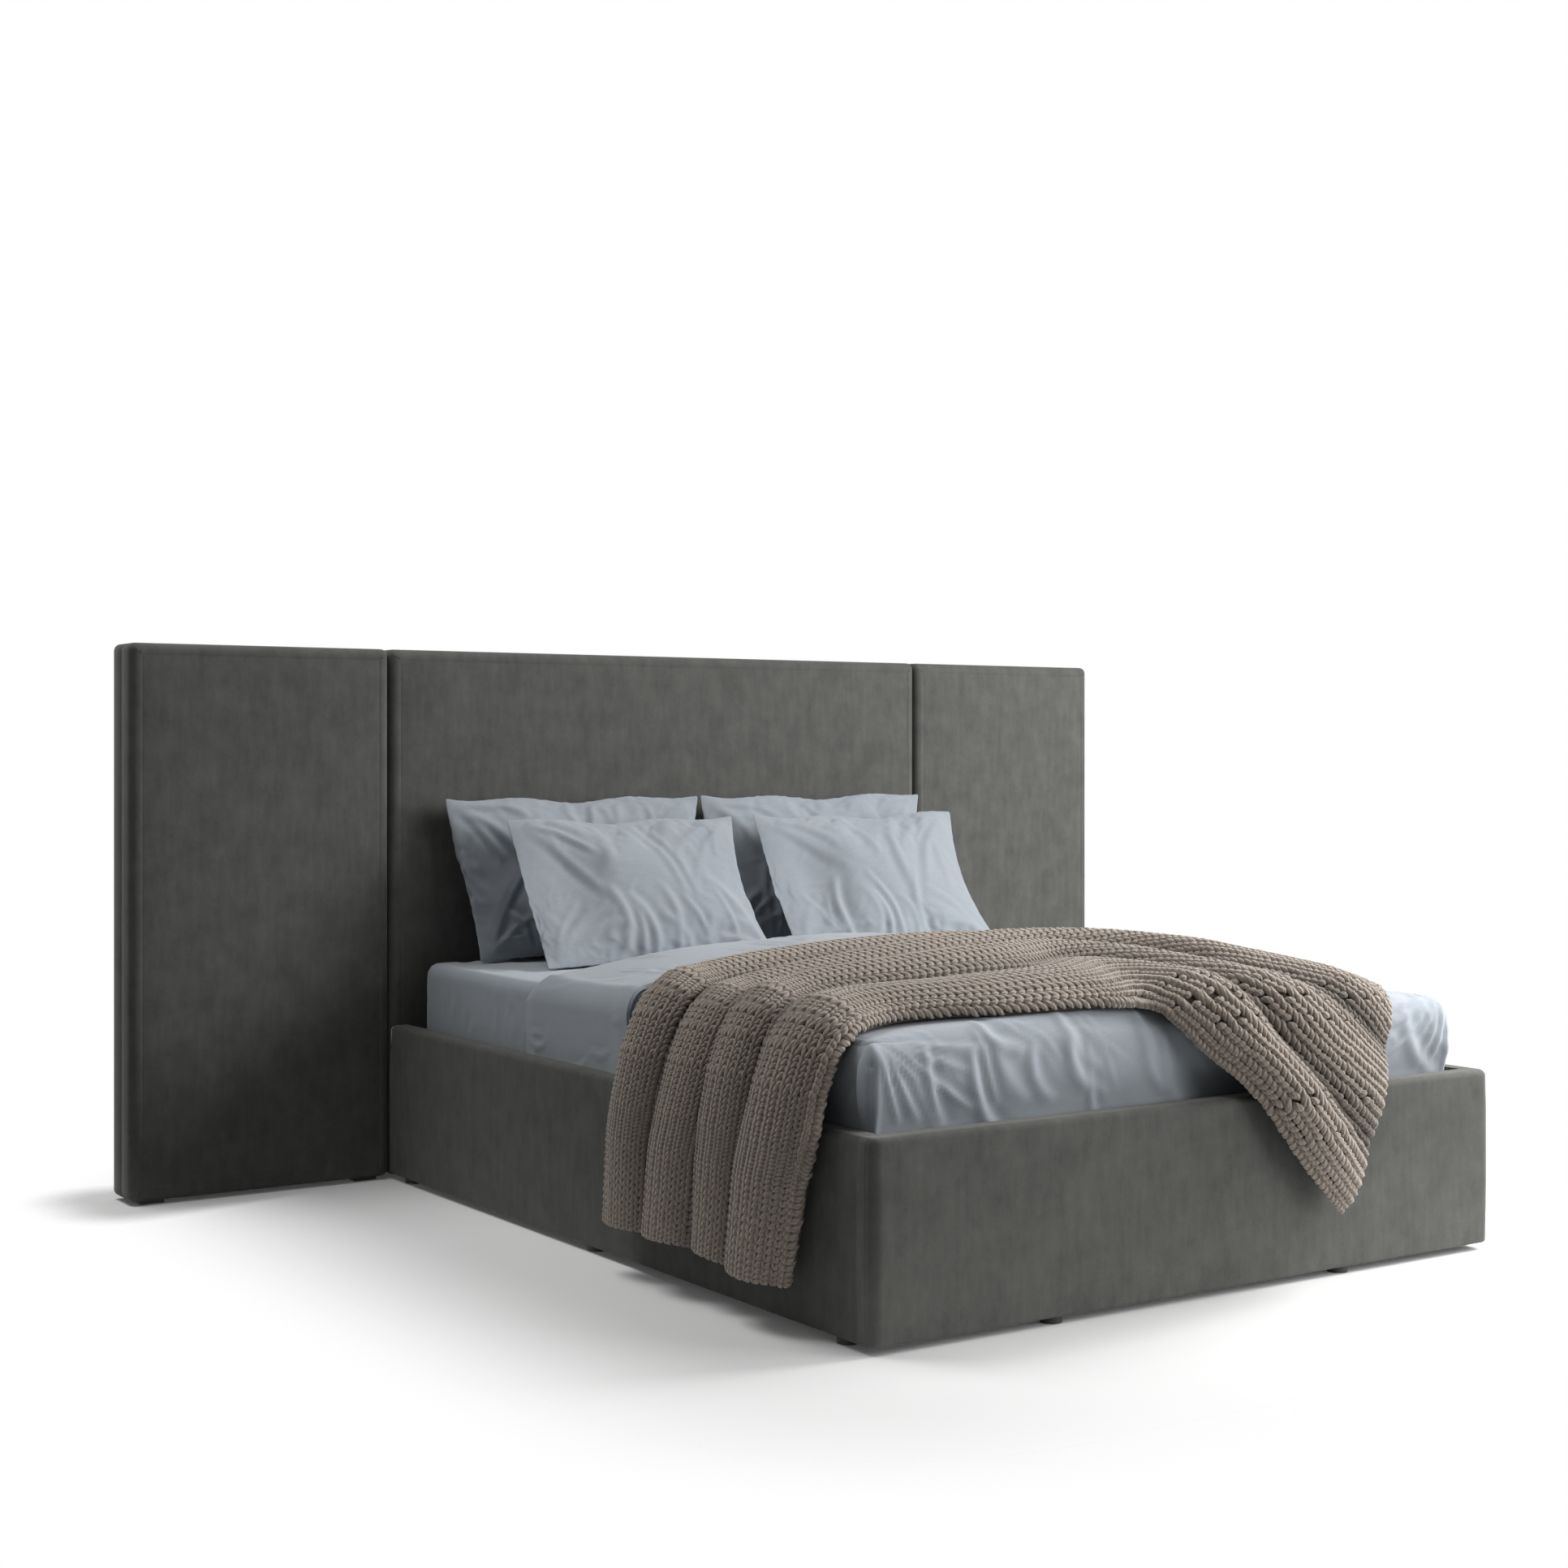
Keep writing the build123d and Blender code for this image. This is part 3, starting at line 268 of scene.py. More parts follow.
def linen_finish(name, colour):
    """Washed linen: a fine plain weave with slubs both ways and a faint bloom."""
    finish = Finish(name, Sheen_Weight=0.18, Sheen_Roughness=0.5, Specular_IOR_Level=0.25)
    place = finish.object_place
    slub_one = finish.noise(finish.stretched(place, (240.0, 22.0, 240.0)), 1.0, 2.0, 0.55)
    slub_two = finish.noise(finish.stretched(place, (22.0, 240.0, 22.0)), 1.0, 2.0, 0.55)
    weave = finish.noise(place, 900.0, 1.0)
    clouds = finish.noise(place, 3.2, 3.0, 0.5)
    mottle = (slub_one * 0.36 + slub_two * 0.36 + weave * 0.16 + clouds * 0.3 - 0.1).clamped()
    tone = finish.blend(mottle, shade(colour, 0.8), shade(colour, 1.16))
    return finish.made(tone, 0.96 - clouds * 0.1, slub_one * 0.5 + slub_two * 0.5 + weave * 0.3, 0.0006, 0.55)


def yarn_finish(colour):
    """Thick spun yarn with a twist that follows each stitch and a fuzzy surface, darkened as painted shade in the
    valleys between the throw's folds.
    """
    finish = Finish("knit", Sheen_Weight=0.3, Sheen_Roughness=0.6, Specular_IOR_Level=0.15)
    place = finish.object_place
    twist = finish.waves(finish.uv_place, 2.2, 0.8, "DIAGONAL")
    fuzz = finish.noise(place, 650.0, 3.0, 0.7)
    tufts = finish.noise(place, 46.0, 3.0, 0.6)
    swell = finish.node("ShaderNodeAttribute", {"attribute_name": "swell"}, "Fac")
    # Painted shade: the swell attribute, 0 in a fold's valley, darkens the yarn's colour there
    mottle = (twist * 0.34 + fuzz * 0.42 + tufts * 0.42 - 0.12) * (swell * 1.15 - 0.12).clamped()
    mottle = (mottle * 1.12).clamped()
    tone = finish.blend(mottle, shade(colour, 0.4), shade(colour, 1.55))
    return finish.made(tone, 1.0 - fuzz * 0.12, twist * 0.7 + fuzz * 0.6, 0.0016, 0.7)


def foam_finish():
    """Cream open-cell foam."""
    finish = Finish("foam", Specular_IOR_Level=0.2)
    cells = finish.node("ShaderNodeTexVoronoi", Vector=finish.object_place, Scale=520.0)
    patches = finish.noise(finish.object_place, 9.0)
    tone = finish.blend((cells + patches * 0.5).clamped(), (0.62, 0.55, 0.38, 1), (0.86, 0.82, 0.66, 1))
    return finish.made(tone, 0.9 + cells * 0.1, cells, 0.0008)


def wood_finish(name, dark, light, scale, along, gloss):
    """Sawn or varnished wood with its grain along one axis."""
    finish = Finish(name, Specular_IOR_Level=0.35)
    grain = finish.noise(finish.stretched(finish.object_place, along), scale, 5.0, 0.65)
    rings = finish.waves(finish.stretched(finish.object_place, along), scale * 0.55, 5.0)
    figure = (grain * 0.75 + rings * 0.3 - 0.1).clamped()
    return finish.made(finish.blend(figure, dark, light), gloss + grain * 0.2, figure, 0.0004, 0.4)


def board_finish():
    """Particle board with pressed chips."""
    finish = Finish("board", Specular_IOR_Level=0.3)
    chips = finish.node("ShaderNodeTexVoronoi", {"distance": "CHEBYCHEV"}, Vector=finish.object_place,
                        Scale=170.0)
    dust = finish.noise(finish.object_place, 300.0)
    figure = (chips * 0.9 + dust * 0.4 - 0.1).clamped()
    tone = finish.blend(figure, (0.28, 0.19, 0.1, 1), (0.62, 0.47, 0.3, 1))
    return finish.made(tone, 0.7 + dust * 0.2, figure, 0.0005, 0.5)


def coated_finish(name, dark, light, grain_size, rough, metallic=0.0):
    """Powder coat, moulded plastic or bare metal: a fine grain and slightly worn patches. The throw's dark
    backing also uses it, as painted shade between the stitches.
    """
    finish = Finish(name, Metallic=metallic)
    grain = finish.noise(finish.object_place, grain_size, 2.0)
    wear = finish.noise(finish.object_place, 14.0, 4.0, 0.65)
    tone = finish.blend((wear * 0.8 + grain * 0.25 - 0.05).clamped(), dark, light)
    return finish.made(tone, rough + wear * 0.18 - 0.06, grain, 0.0003, 0.35)


def webbing_finish():
    """Black strap webbing with a ribbed weave."""
    finish = Finish("strap_web", Sheen_Weight=0.2)
    ribs = finish.waves(finish.object_place, 190.0, 0.3, "Z")
    cross = finish.waves(finish.object_place, 120.0, 0.3, "X")
    tone = finish.blend((ribs * 0.6 + cross * 0.3).clamped(), (0.012, 0.012, 0.013, 1), (0.06, 0.06, 0.062, 1))
    return finish.made(tone, 0.7 + cross * 0.2, ribs, 0.0008)


def ticking_finish():
    """Pale knitted mattress cloth with small quilted diamonds."""
    finish = Finish("ticking", Sheen_Weight=0.15)
    turned = finish.stretched(finish.object_place, (1.0, 1.0, 1.0), (0.0, 0.0, radians(45)))
    one = finish.waves(turned, 5.2, 0.0, "X")
    two = finish.waves(turned, 5.2, 0.0, "Y")
    loops = finish.noise(finish.object_place, 700.0)
    quilt = one.math("MINIMUM", two)
    tone = finish.blend((quilt * 0.7 + loops * 0.3).clamped(), (0.6, 0.6, 0.58, 1), (0.82, 0.82, 0.8, 1))
    return finish.made(tone, 0.86 + loops * 0.12, (quilt ** 0.5) + loops * 0.1, 0.004, 0.6)


def make_finishes(scene):
    """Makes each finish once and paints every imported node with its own."""
    cloth = scene.bed_cloth
    wood_dark, wood_light = (0.36, 0.22, 0.1, 1), (0.7, 0.5, 0.28, 1)
    FINISHES.update({
        "velvet": velvet_finish("velvet", cloth.upholstery),
        # Painted shade: a darker copy of the upholstery colour for the headboard panels and side rails
        "velvet_painted_shade": velvet_finish("velvet_painted_shade", shade(cloth.upholstery, cloth.upholstery_painted_shade)),
        "linen": linen_finish("linen", cloth.bedding),
        # Painted shade: a darker copy of the bedding colour for the pillows
        "linen_painted_shade": linen_finish("linen_painted_shade", shade(cloth.bedding, cloth.pillow_painted_shade)),
        # Painted light: a lighter copy of the bedding colour for the duvet
        "linen_painted_light": linen_finish("linen_painted_light", shade(cloth.bedding, cloth.duvet_painted_light)),
        "knit": yarn_finish(cloth.throw),
        # Painted shade: the throw's backing is made very dark so that the gaps between the stitches read as shade
        "knit_back_painted_shade": coated_finish("knit_back_painted_shade", shade(cloth.throw, 0.12), shade(cloth.throw, 0.3), 300.0, 0.9),
        "foam": foam_finish(),
        "board": board_finish(),
        "pine": wood_finish("pine", wood_dark, wood_light, 14.0, (1.0, 1.0, 0.12), 0.55),
        "beech": wood_finish("beech", (0.48, 0.3, 0.15, 1), (0.78, 0.58, 0.36, 1), 22.0, (0.1, 1.0, 1.0), 0.32),
        "black_plastic": coated_finish("black_plastic", (0.012, 0.012, 0.012, 1), (0.035, 0.035, 0.036, 1),
                                       600.0, 0.5),
        "black_steel": coated_finish("black_steel", (0.015, 0.015, 0.016, 1), (0.045, 0.045, 0.047, 1),
                                     900.0, 0.4, 0.3),
        "platform_paint": coated_finish("platform_paint", (0.16, 0.165, 0.17, 1), (0.27, 0.275, 0.285, 1),
                                        800.0, 0.42),
        "zinc_steel": coated_finish("zinc_steel", (0.45, 0.46, 0.48, 1), (0.66, 0.67, 0.69, 1), 240.0, 0.32, 1.0),
        "bright_rod": coated_finish("bright_rod", (0.6, 0.6, 0.62, 1), (0.8, 0.8, 0.82, 1), 1200.0, 0.12, 1.0),
        "strap_web": webbing_finish(),
        "ticking": ticking_finish(),
    })
    slots = {part["node"]: part["material_slot"] for part in frame["record"]["subparts"]}
    for name, node in frame["nodes"].items():
        node.data.materials.clear()
        node.data.materials.append(FINISHES[slots[name]])


# Modelling helpers

def deselect():
    """Nothing is selected after this."""
    bpy.ops.object.select_all(action="DESELECT")


def pick(piece):
    """Makes a piece the only one selected and the active one."""
    deselect()
    piece.select_set(True)
    bpy.context.view_layer.objects.active = piece


def named(name):
    """Names the piece that was just added."""
    piece = bpy.context.object
    piece.name = name
    piece.data.name = name
    return piece


def fix_place(piece):
    """Moves a piece's place, turn and size into its mesh."""
    pick(piece)
    bpy.ops.object.transform_apply(location=True, rotation=True, scale=True)


def points_of(piece):
    """The piece's vertices as an array."""
    points = np.empty(len(piece.data.vertices) * 3)
    piece.data.vertices.foreach_get("co", points)
    return points.reshape(-1, 3)


def move_points(piece, points):
    """Writes an array of vertices back."""
    piece.data.vertices.foreach_set("co", np.ascontiguousarray(points, dtype=float).ravel())
    piece.data.update()


def normals_of(piece):
    """The piece's vertex normals as an array."""
    normals = np.empty(len(piece.data.vertices) * 3)
    piece.data.vertex_normals.foreach_get("vector", normals)
    return normals.reshape(-1, 3)


def grid(name, columns, rows):
    """A flat grid, and its two coordinates from 0 to 1."""
    deselect()
    bpy.ops.mesh.primitive_grid_add(x_subdivisions=columns, y_subdivisions=rows, size=1.0)
    piece = named(name)
    points = points_of(piece)
    return piece, points[:, 0] + 0.5, points[:, 1] + 0.5


def block(name, low, high):
    """A box between two corners."""
    deselect()
    bpy.ops.mesh.primitive_cube_add(size=1.0, location=(low + high) / 2, scale=high - low)
    piece = named(name)
    fix_place(piece)
    return piece


def modified(piece, kind, **settings):
    """Gives a piece a modifier with these settings and applies it."""
    pick(piece)
    bpy.ops.object.modifier_add(type=kind)
    modifier = piece.modifiers[-1]
    for key, value in settings.items():
        setattr(modifier, key, value)
    bpy.ops.object.modifier_apply(modifier=modifier.name)


def bevel(piece, radius, segments, test):
    """In edit mode, rounds the edges that pass a test on their middle and their two ends."""
    mesh = bmesh.from_edit_mesh(piece.data)
    bpy.ops.mesh.select_all(action="DESELECT")
    bpy.context.tool_settings.mesh_select_mode = (False, True, False)
    for edge in mesh.edges:
        ends = [v.co for v in edge.verts]
        edge.select_set(test(sum(ends, Vector()) / len(ends), ends))
    bmesh.update_edit_mesh(piece.data)
    bpy.ops.mesh.bevel(offset=radius, segments=segments, affect="EDGES")


def cut(axis, place):
    """Cuts everything in edit mode with a plane square to one axis."""
    bpy.ops.mesh.select_all(action="SELECT")
    normal = [float(index == axis) for index in range(3)]
    bpy.ops.mesh.bisect(plane_co=[share * place for share in normal], plane_no=normal)


def finish_piece(piece, slot, body, replaced=(), angle=None):
    """Gives a piece its finish, its body and the nodes that it stands for."""
    pick(piece)
    if angle is None:
        bpy.ops.object.shade_smooth()
    else:
        bpy.ops.object.shade_smooth_by_angle(angle=radians(angle))
    piece.data.materials.clear()
    piece.data.materials.append(FINISHES[slot])
    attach(piece, body)
    if replaced:
        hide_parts(*replaced)
    return piece


def smoothstep(value):
    """Eases from 0 to 1."""
    value = np.clip(value, 0.0, 1.0)
    return value * value * (3.0 - 2.0 * value)


def unit(vectors):
    """Vectors made one long."""
    return vectors / np.maximum(np.linalg.norm(vectors, axis=-1, keepdims=True), 1e-9)


def round_fall(radius, inside):
    """How far a rounded edge falls at a distance inside its rim."""
    return radius - np.sqrt(np.maximum(radius ** 2 - (radius - inside) ** 2, 0))


def groove(distance, width):
    """A soft groove: 1 on its line and 0 past its width."""
    return np.clip(1.0 - np.abs(distance) / width, 0.0, 1.0) ** 1.5


# Upholstery

def evenly(low, high, pitch):
    """Places between two ends, about one pitch apart."""
    count = max(2, int(round((high - low) / pitch)))
    return [low + (high - low) * index / count for index in range(1, count)]


def seam_lines(place, width):
    """Places of the five cuts that a seam's groove needs."""
    return [place + share * width for share in (-1, -0.5, 0, 0.5, 1)]


def padded_panel(name, low, high, cloth, side_seam):
    """A headboard panel's cover: rounded front, stitched border and a seam round its sides."""
    piece = block(name, low, high)
    bpy.ops.object.mode_set(mode="EDIT")
    depth = high.y - low.y
    bevel(piece, cloth.panel_corner, 6, lambda at, ends: abs(ends[0].y - ends[1].y) > depth / 2)
    bevel(piece, cloth.panel_edge, 8, lambda at, ends: all(abs(end.y - low.y) < MILLIMETRE for end in ends))
    bevel(piece, cloth.wrap, 2, lambda at, ends: all(abs(end.y - high.y) < MILLIMETRE for end in ends))
    line = cloth.border_line
    seam = cloth.seam_width
    for axis in (0, 2):
        near, far = low[axis] + line, high[axis] - line
        for near_cut, far_cut in zip(seam_lines(near, seam), seam_lines(far, seam)):
            cut(axis, near_cut)
            cut(axis, far_cut)
        for place in evenly(near + 2 * seam, far - 2 * seam, cloth.panel_mesh):
            cut(axis, place)
    for place in seam_lines(side_seam, seam):
        cut(1, place)
    bpy.ops.object.mode_set(mode="OBJECT")

    points = points_of(piece)
    normals = normals_of(piece)
    inside_x = np.minimum(points[:, 0] - low.x, high.x - points[:, 0])
    inside_z = np.minimum(points[:, 2] - low.z, high.z - points[:, 2])
    inside = np.minimum(inside_x, inside_z)
    front = smoothstep((low.y + cloth.panel_edge * 0.6 - points[:, 1]) / (cloth.panel_edge * 0.5))
    crown = smoothstep(inside_x / PANEL_SWELL) * smoothstep(inside_z / PANEL_SWELL)
    sag = np.sin(points[:, 0] * 5.1 + 1.3) * np.sin(points[:, 2] * 4.3 + 0.4)
    push = front * (crown * cloth.panel_crown + sag * crown * PANEL_SLACK)
    push -= front * groove(inside - line, seam) * cloth.seam_depth
    round_side = 1.0 - smoothstep((low.y + cloth.panel_edge - points[:, 1]) / cloth.panel_edge)
    push -= round_side * groove(points[:, 1] - side_seam, seam) * cloth.seam_depth * 1.4
    back = points[:, 1] > high.y - 0.004
    push[back] = 0.0
    points += normals * push[:, None]
    points[:, 1] += np.where(back, cloth.wrap, 0.0)
    move_points(piece, points)
    return piece


def make_headboard(scene):
    """Three padded panels side by side."""
    cloth = scene.bed_cloth
    for side in ("left", "center", "right"):
        node = "headboard_" + side + "_cover"
        low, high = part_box(node)
        seam = low.y + (high.y - low.y) * cloth.side_seam
        piece = padded_panel("headboard_" + side + "_upholstery", low, high, cloth, seam)
        # The panels take the darker velvet copy, which is painted shade
        finish_piece(piece, "velvet_painted_shade", "frame", [node], 50)


def rail_block(name, low, high, edge_tests, cuts):
    """A rail's cover: a block with its chosen edges rounded and fine enough cuts for its padding."""
    piece = block(name, low, high)
    bpy.ops.object.mode_set(mode="EDIT")
    for test, radius, segments in edge_tests:
        bevel(piece, radius, segments, test)
    for axis, places in cuts:
        for place in places:
            cut(axis, place)
    bpy.ops.object.mode_set(mode="OBJECT")
    return piece


def pad_rail(piece, low, high, cloth, seam_place):
    """Gives the rail's faces a slight crown and waves, and a groove where its cover is sewn."""
    points = points_of(piece)
    normals = normals_of(piece)
    along = np.where(np.abs(normals[:, 0]) > np.abs(normals[:, 1]), points[:, 1], points[:, 0])
    up = np.minimum(points[:, 2] - low.z, high.z - points[:, 2])
    outer = np.maximum(np.abs(points[:, 0]) - RAIL_INNER - 0.01, FOOT_INNER - 0.01 - points[:, 1]) > 0
    crown = smoothstep(up / RAIL_SWELL)
    waves = np.sin(along * 7.3 + 0.6) * 0.6 + np.sin(along * 3.1 + points[:, 2] * 6.0) * 0.8
    push = outer * crown * (cloth.rail_crown + waves * RAIL_SLACK)
    if seam_place is not None:
        side = np.abs(normals[:, 0]) > 0.5
        push -= side * groove(points[:, 1] - seam_place, cloth.seam_width) * cloth.seam_depth
    inner = np.abs(points[:, 0]) < RAIL_INNER + MILLIMETRE
    points += normals * push[:, None]
    if seam_place is None:
        points[:, 0] -= np.where(inner, np.sign(points[:, 0]) * cloth.wrap, 0.0)
    else:
        points[:, 1] += np.where(points[:, 1] > high.y - MILLIMETRE, cloth.wrap, 0.0)
    move_points(piece, points)


def make_rails(scene):
    """Covers of the two side rails and of the foot rail."""
    cloth = scene.bed_cloth
    tiny = MILLIMETRE
    for side in ("left", "right"):
        node = "side_rail_" + side + "_cover"
        low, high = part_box(node)
        outer = low.x if side == "left" else high.x
        tests = [
            (lambda at, ends: abs(at.z - high.z) < tiny and abs(at.y - high.y) < tiny, cloth.rail_head_radius, 8),
            (lambda at, ends: at.z > high.z - 2 * cloth.rail_head_radius and abs(at.x - outer) < tiny
             and max(end.z for end in ends) > high.z - cloth.rail_head_radius * 1.01
             and abs(ends[0].x - ends[1].x) < tiny and not (abs(at.y - low.y) < tiny),
             cloth.rail_edge, 6),
            (lambda at, ends: abs(at.z - low.z) < tiny and abs(at.x - outer) < tiny, cloth.rail_edge / 2, 4),
        ]
        cuts = ((1, evenly(low.y, high.y, 0.05)), (2, evenly(low.z, high.z, 0.045)))
        piece = rail_block("side_rail_" + side + "_upholstery", low, high, tests, cuts)
        pad_rail(piece, low, high, cloth, None)
        # The side rails take the darker velvet copy, which is painted shade
        finish_piece(piece, "velvet_painted_shade", "frame", [node], 40)

    low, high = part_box("foot_rail_cover")
    tests = [
        (lambda at, ends: abs(ends[0].z - ends[1].z) > 0.1 and abs(at.y - low.y) < tiny, cloth.rail_corner, 8),
        (lambda at, ends: abs(at.z - high.z) < tiny and at.y < high.y - tiny, cloth.rail_edge, 6),
        (lambda at, ends: abs(at.z - low.z) < tiny and at.y < high.y - tiny, cloth.rail_edge / 2, 4),
    ]
    seam_place = low.y + cloth.corner_seam
    cuts = ((0, evenly(low.x, high.x, 0.04)), (1, seam_lines(seam_place, cloth.seam_width)),
            (2, evenly(low.z, high.z, 0.045)))
    piece = rail_block("foot_rail_upholstery", low, high, tests, cuts)
    pad_rail(piece, low, high, cloth, seam_place)
    finish_piece(piece, "velvet", "frame", ["foot_rail_cover"], 40)


# Bedding

def creases(place_a, place_b, strokes):
    """Height of many creases at places of the flat cloth: each is a ridge with a furrow beside it."""
    ridges = np.zeros_like(place_a)
    furrows = np.zeros_like(place_a)
    for start_a, start_b, end_a, end_b, width, rise in strokes:
        run_a, run_b = end_a - start_a, end_b - start_b
        length = max(1e-6, (run_a ** 2 + run_b ** 2) ** 0.5)
        near = ((place_a - start_a) * run_a + (place_b - start_b) * run_b) / length ** 2
        aside = ((place_a - start_a) * run_b - (place_b - start_b) * run_a) / length
        aside = aside + width * CREASE_BOW * np.sin(near * pi) * np.sign(run_a + 1e-9)
        taper = np.clip(near, 0.0, 1.0) * np.clip(1.0 - near, 0.0, 1.0) * 4.0
        ridge = np.exp(-(aside / width) ** 2)
        furrow = np.exp(-((aside - FURROW_PLACE * width) / (FURROW_WIDTH * width)) ** 2)
        ridges = np.maximum(ridges, rise * np.sqrt(taper) * ridge)
        furrows = np.maximum(furrows, rise * np.sqrt(taper) * furrow)
    return ridges - FURROW_DEPTH * furrows


def random_creases(random, count, low, high, direction, spread, length, width, rise):
    """Creases scattered over a region, running about one way."""
    strokes = []
    for _ in range(count):
        start_a = random.uniform(low[0], high[0])
        start_b = random.uniform(low[1], high[1])
        turn = radians(direction + random.uniform(-spread, spread))
        size = length * random.uniform(0.5, 1.3)
        strokes.append((start_a, start_b, start_a + size * cos(turn), start_b + size * sin(turn),
                        width * random.uniform(0.6, 1.4), rise * random.uniform(0.4, 1.2)))
    return strokes


def cover_form(name, low, high, top, edge, corner, drop, mesh):
    """A cloth shell over a block: a grid for the top whose rim runs down the sides.

    top gives the height over (x, y); edge is the soft radius of the top edge, corner that of the
    upright corners. Returns the piece."""
    columns = int((high[0] - low[0]) / mesh)
    rows = int((high[1] - low[1]) / mesh)
    piece, across, along = grid(name, columns, rows)
    half_x, half_y = (high[0] - low[0]) / 2, (high[1] - low[1]) / 2
    middle_x, middle_y = (high[0] + low[0]) / 2, (high[1] + low[1]) / 2

    def eased(share, half):
        """Spaces grid lines evenly along the arc of the edge."""
        arc = edge * pi / 2
        total = half - edge + arc
        run = np.abs(share * 2 - 1) * total
        flat = half - edge
        past = np.clip(run - flat, 0, arc)
        return np.sign(share - 0.5) * (np.minimum(run, flat) + edge * np.sin(past / edge))

    x = eased(across, half_x)
    y = eased(along, half_y)
    core_x, core_y = half_x - corner, half_y - corner
    out_x, out_y = np.abs(x) - core_x, np.abs(y) - core_y
    far = np.hypot(np.maximum(out_x, 0), np.maximum(out_y, 0))
    outside = far > corner
    pull = np.where(outside, corner / np.maximum(far, 1e-9), 1.0)
    both = (out_x > 0) & (out_y > 0) & outside
    x = np.where(both, np.sign(x) * (core_x + out_x * pull), x)
    y = np.where(both, np.sign(y) * (core_y + out_y * pull), y)
    rim = corner - np.hypot(np.maximum(np.abs(x) - core_x, 0), np.maximum(np.abs(y) - core_y, 0))
    rim += np.minimum(0, np.maximum(np.abs(x) - core_x, np.abs(y) - core_y)) * -1
    rim = np.clip(rim, 0, edge)
    x, y = x + middle_x, y + middle_y
    points = np.stack([x, y, top(x, y) - round_fall(edge, rim)], axis=1)
    move_points(piece, points)

    pick(piece)
    bpy.ops.object.mode_set(mode="EDIT")
    bpy.ops.mesh.select_all(action="SELECT")
    bpy.ops.mesh.region_to_loop()
    steps = max(2, int(drop / mesh))
    for _ in range(steps):
        bpy.ops.mesh.extrude_edges_move(TRANSFORM_OT_translate={"value": (0.0, 0.0, -drop / steps)})
    bpy.ops.object.mode_set(mode="OBJECT")
    return piece


def duvet_top(x, y):
    """Height of the duvet's top, crowned across the bed and thinner to the foot."""
    from_head = (DUVET_HEAD - y) / (DUVET_HEAD - DUVET_FOOT)
    crown = np.interp(from_head, *DUVET_CROWN)
    shoulder = np.interp(from_head, *DUVET_SHOULDER)
    share = np.clip(np.abs(x) / (DUVET_HALF - SHOULDER_WIDTH), 0.0, 1.0)
    return SHEET_TOP + shoulder + (crown - shoulder) * (1.0 - share ** 2)


def make_mattress(scene):
    """The mattress, with a quilted underside."""
    bedding = scene.bed_bedding
    low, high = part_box("mattress")
    core = block("mattress_block", low, high)
    bpy.ops.object.mode_set(mode="EDIT")
    bevel(core, bedding.mattress_corner, 6, lambda at, ends: abs(ends[0].z - ends[1].z) > 0.1)
    bevel(core, bedding.mattress_edge, 5, lambda at, ends: abs(ends[0].z - ends[1].z) < MILLIMETRE)
    for axis in (0, 1):
        for place in evenly(low[axis], high[axis], 0.05):
            cut(axis, place)
    bpy.ops.object.mode_set(mode="OBJECT")
    points = points_of(core)
    quilt = np.abs(np.sin(points[:, :2] * QUILT_WAVES)).prod(axis=1)
    bottom = points[:, 2] < low.z + MILLIMETRE
    points[:, 2] += np.where(bottom, (1.0 - quilt) * QUILT_DEPTH, 0.0)
    move_points(core, points)
    finish_piece(core, "ticking", "platform", ["mattress"], 50)


def make_sheet(scene):
    """The fitted sheet, pulled tight over the mattress."""
    bedding = scene.bed_bedding
    random = np.random.RandomState(bedding.seed)
    low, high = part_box("fitted_sheet")
    piece = cover_form("fitted_sheet_cloth", low, high, lambda x, y: np.full_like(x, high.z), bedding.sheet_edge,
                       bedding.sheet_corner, high.z - low.z - bedding.sheet_edge, bedding.sheet_mesh)
    points = points_of(piece)
    normals = normals_of(piece)
    strokes = random_creases(random, 70, (low.x, low.z), (high.x, high.z), direction=80, spread=30, length=0.12,
                             width=0.01, rise=0.003)
    side = np.abs(normals[:, 2]) < 0.5
    ruck = np.where(np.abs(normals[:, 0]) > 0.5,
                    creases(points[:, 1] % 1.6 - 0.8, points[:, 2], strokes),
                    creases(points[:, 0], points[:, 2], strokes)) * side
    strokes = random_creases(random, 60, (low.x, high.y - 0.8), (high.x, high.y), direction=90, spread=60,
                             length=0.25, width=0.016, rise=0.003)
    flat = creases(points[:, 0], points[:, 1], strokes) * (1 - side)
    held = np.minimum(SHEET_SLACK, ruck + flat)
    move_points(piece, points + normals * held[:, None])
    finish_piece(piece, "linen", "platform", ["fitted_sheet"])


def over_bed(share, y, low, lift):
    """Places across the bed on a layer over the duvet: up one side, over the top, down the other side.

    share runs from 0 to 1 along the cloth, low is the height of its two hems and lift its distance from the
    duvet. Returns x, z and how far outwards and upwards the cloth faces."""
    edge = bpy.context.scene.bed_bedding.duvet_edge
    flat = DUVET_HALF - edge
    arc = (edge + lift) * pi / 2
    turn_height = duvet_top(np.full_like(y, flat), y) - edge
    side = turn_height - low
    half_run = side + arc + flat
    run = (share * 2 - 1) * half_run
    past_top = np.abs(run) - flat
    angle = np.clip(past_top / (edge + lift), 0.0, pi / 2)
    fall = np.maximum(0.0, past_top - arc)
    hand = np.sign(run)
    x = np.where(past_top > 0, hand * (flat + (edge + lift) * np.sin(angle)), run)
    z = np.where(past_top > 0, turn_height + (edge + lift) * np.cos(angle) - fall, duvet_top(x, y) + lift)
    return x, z, hand * np.sin(angle), np.cos(angle)


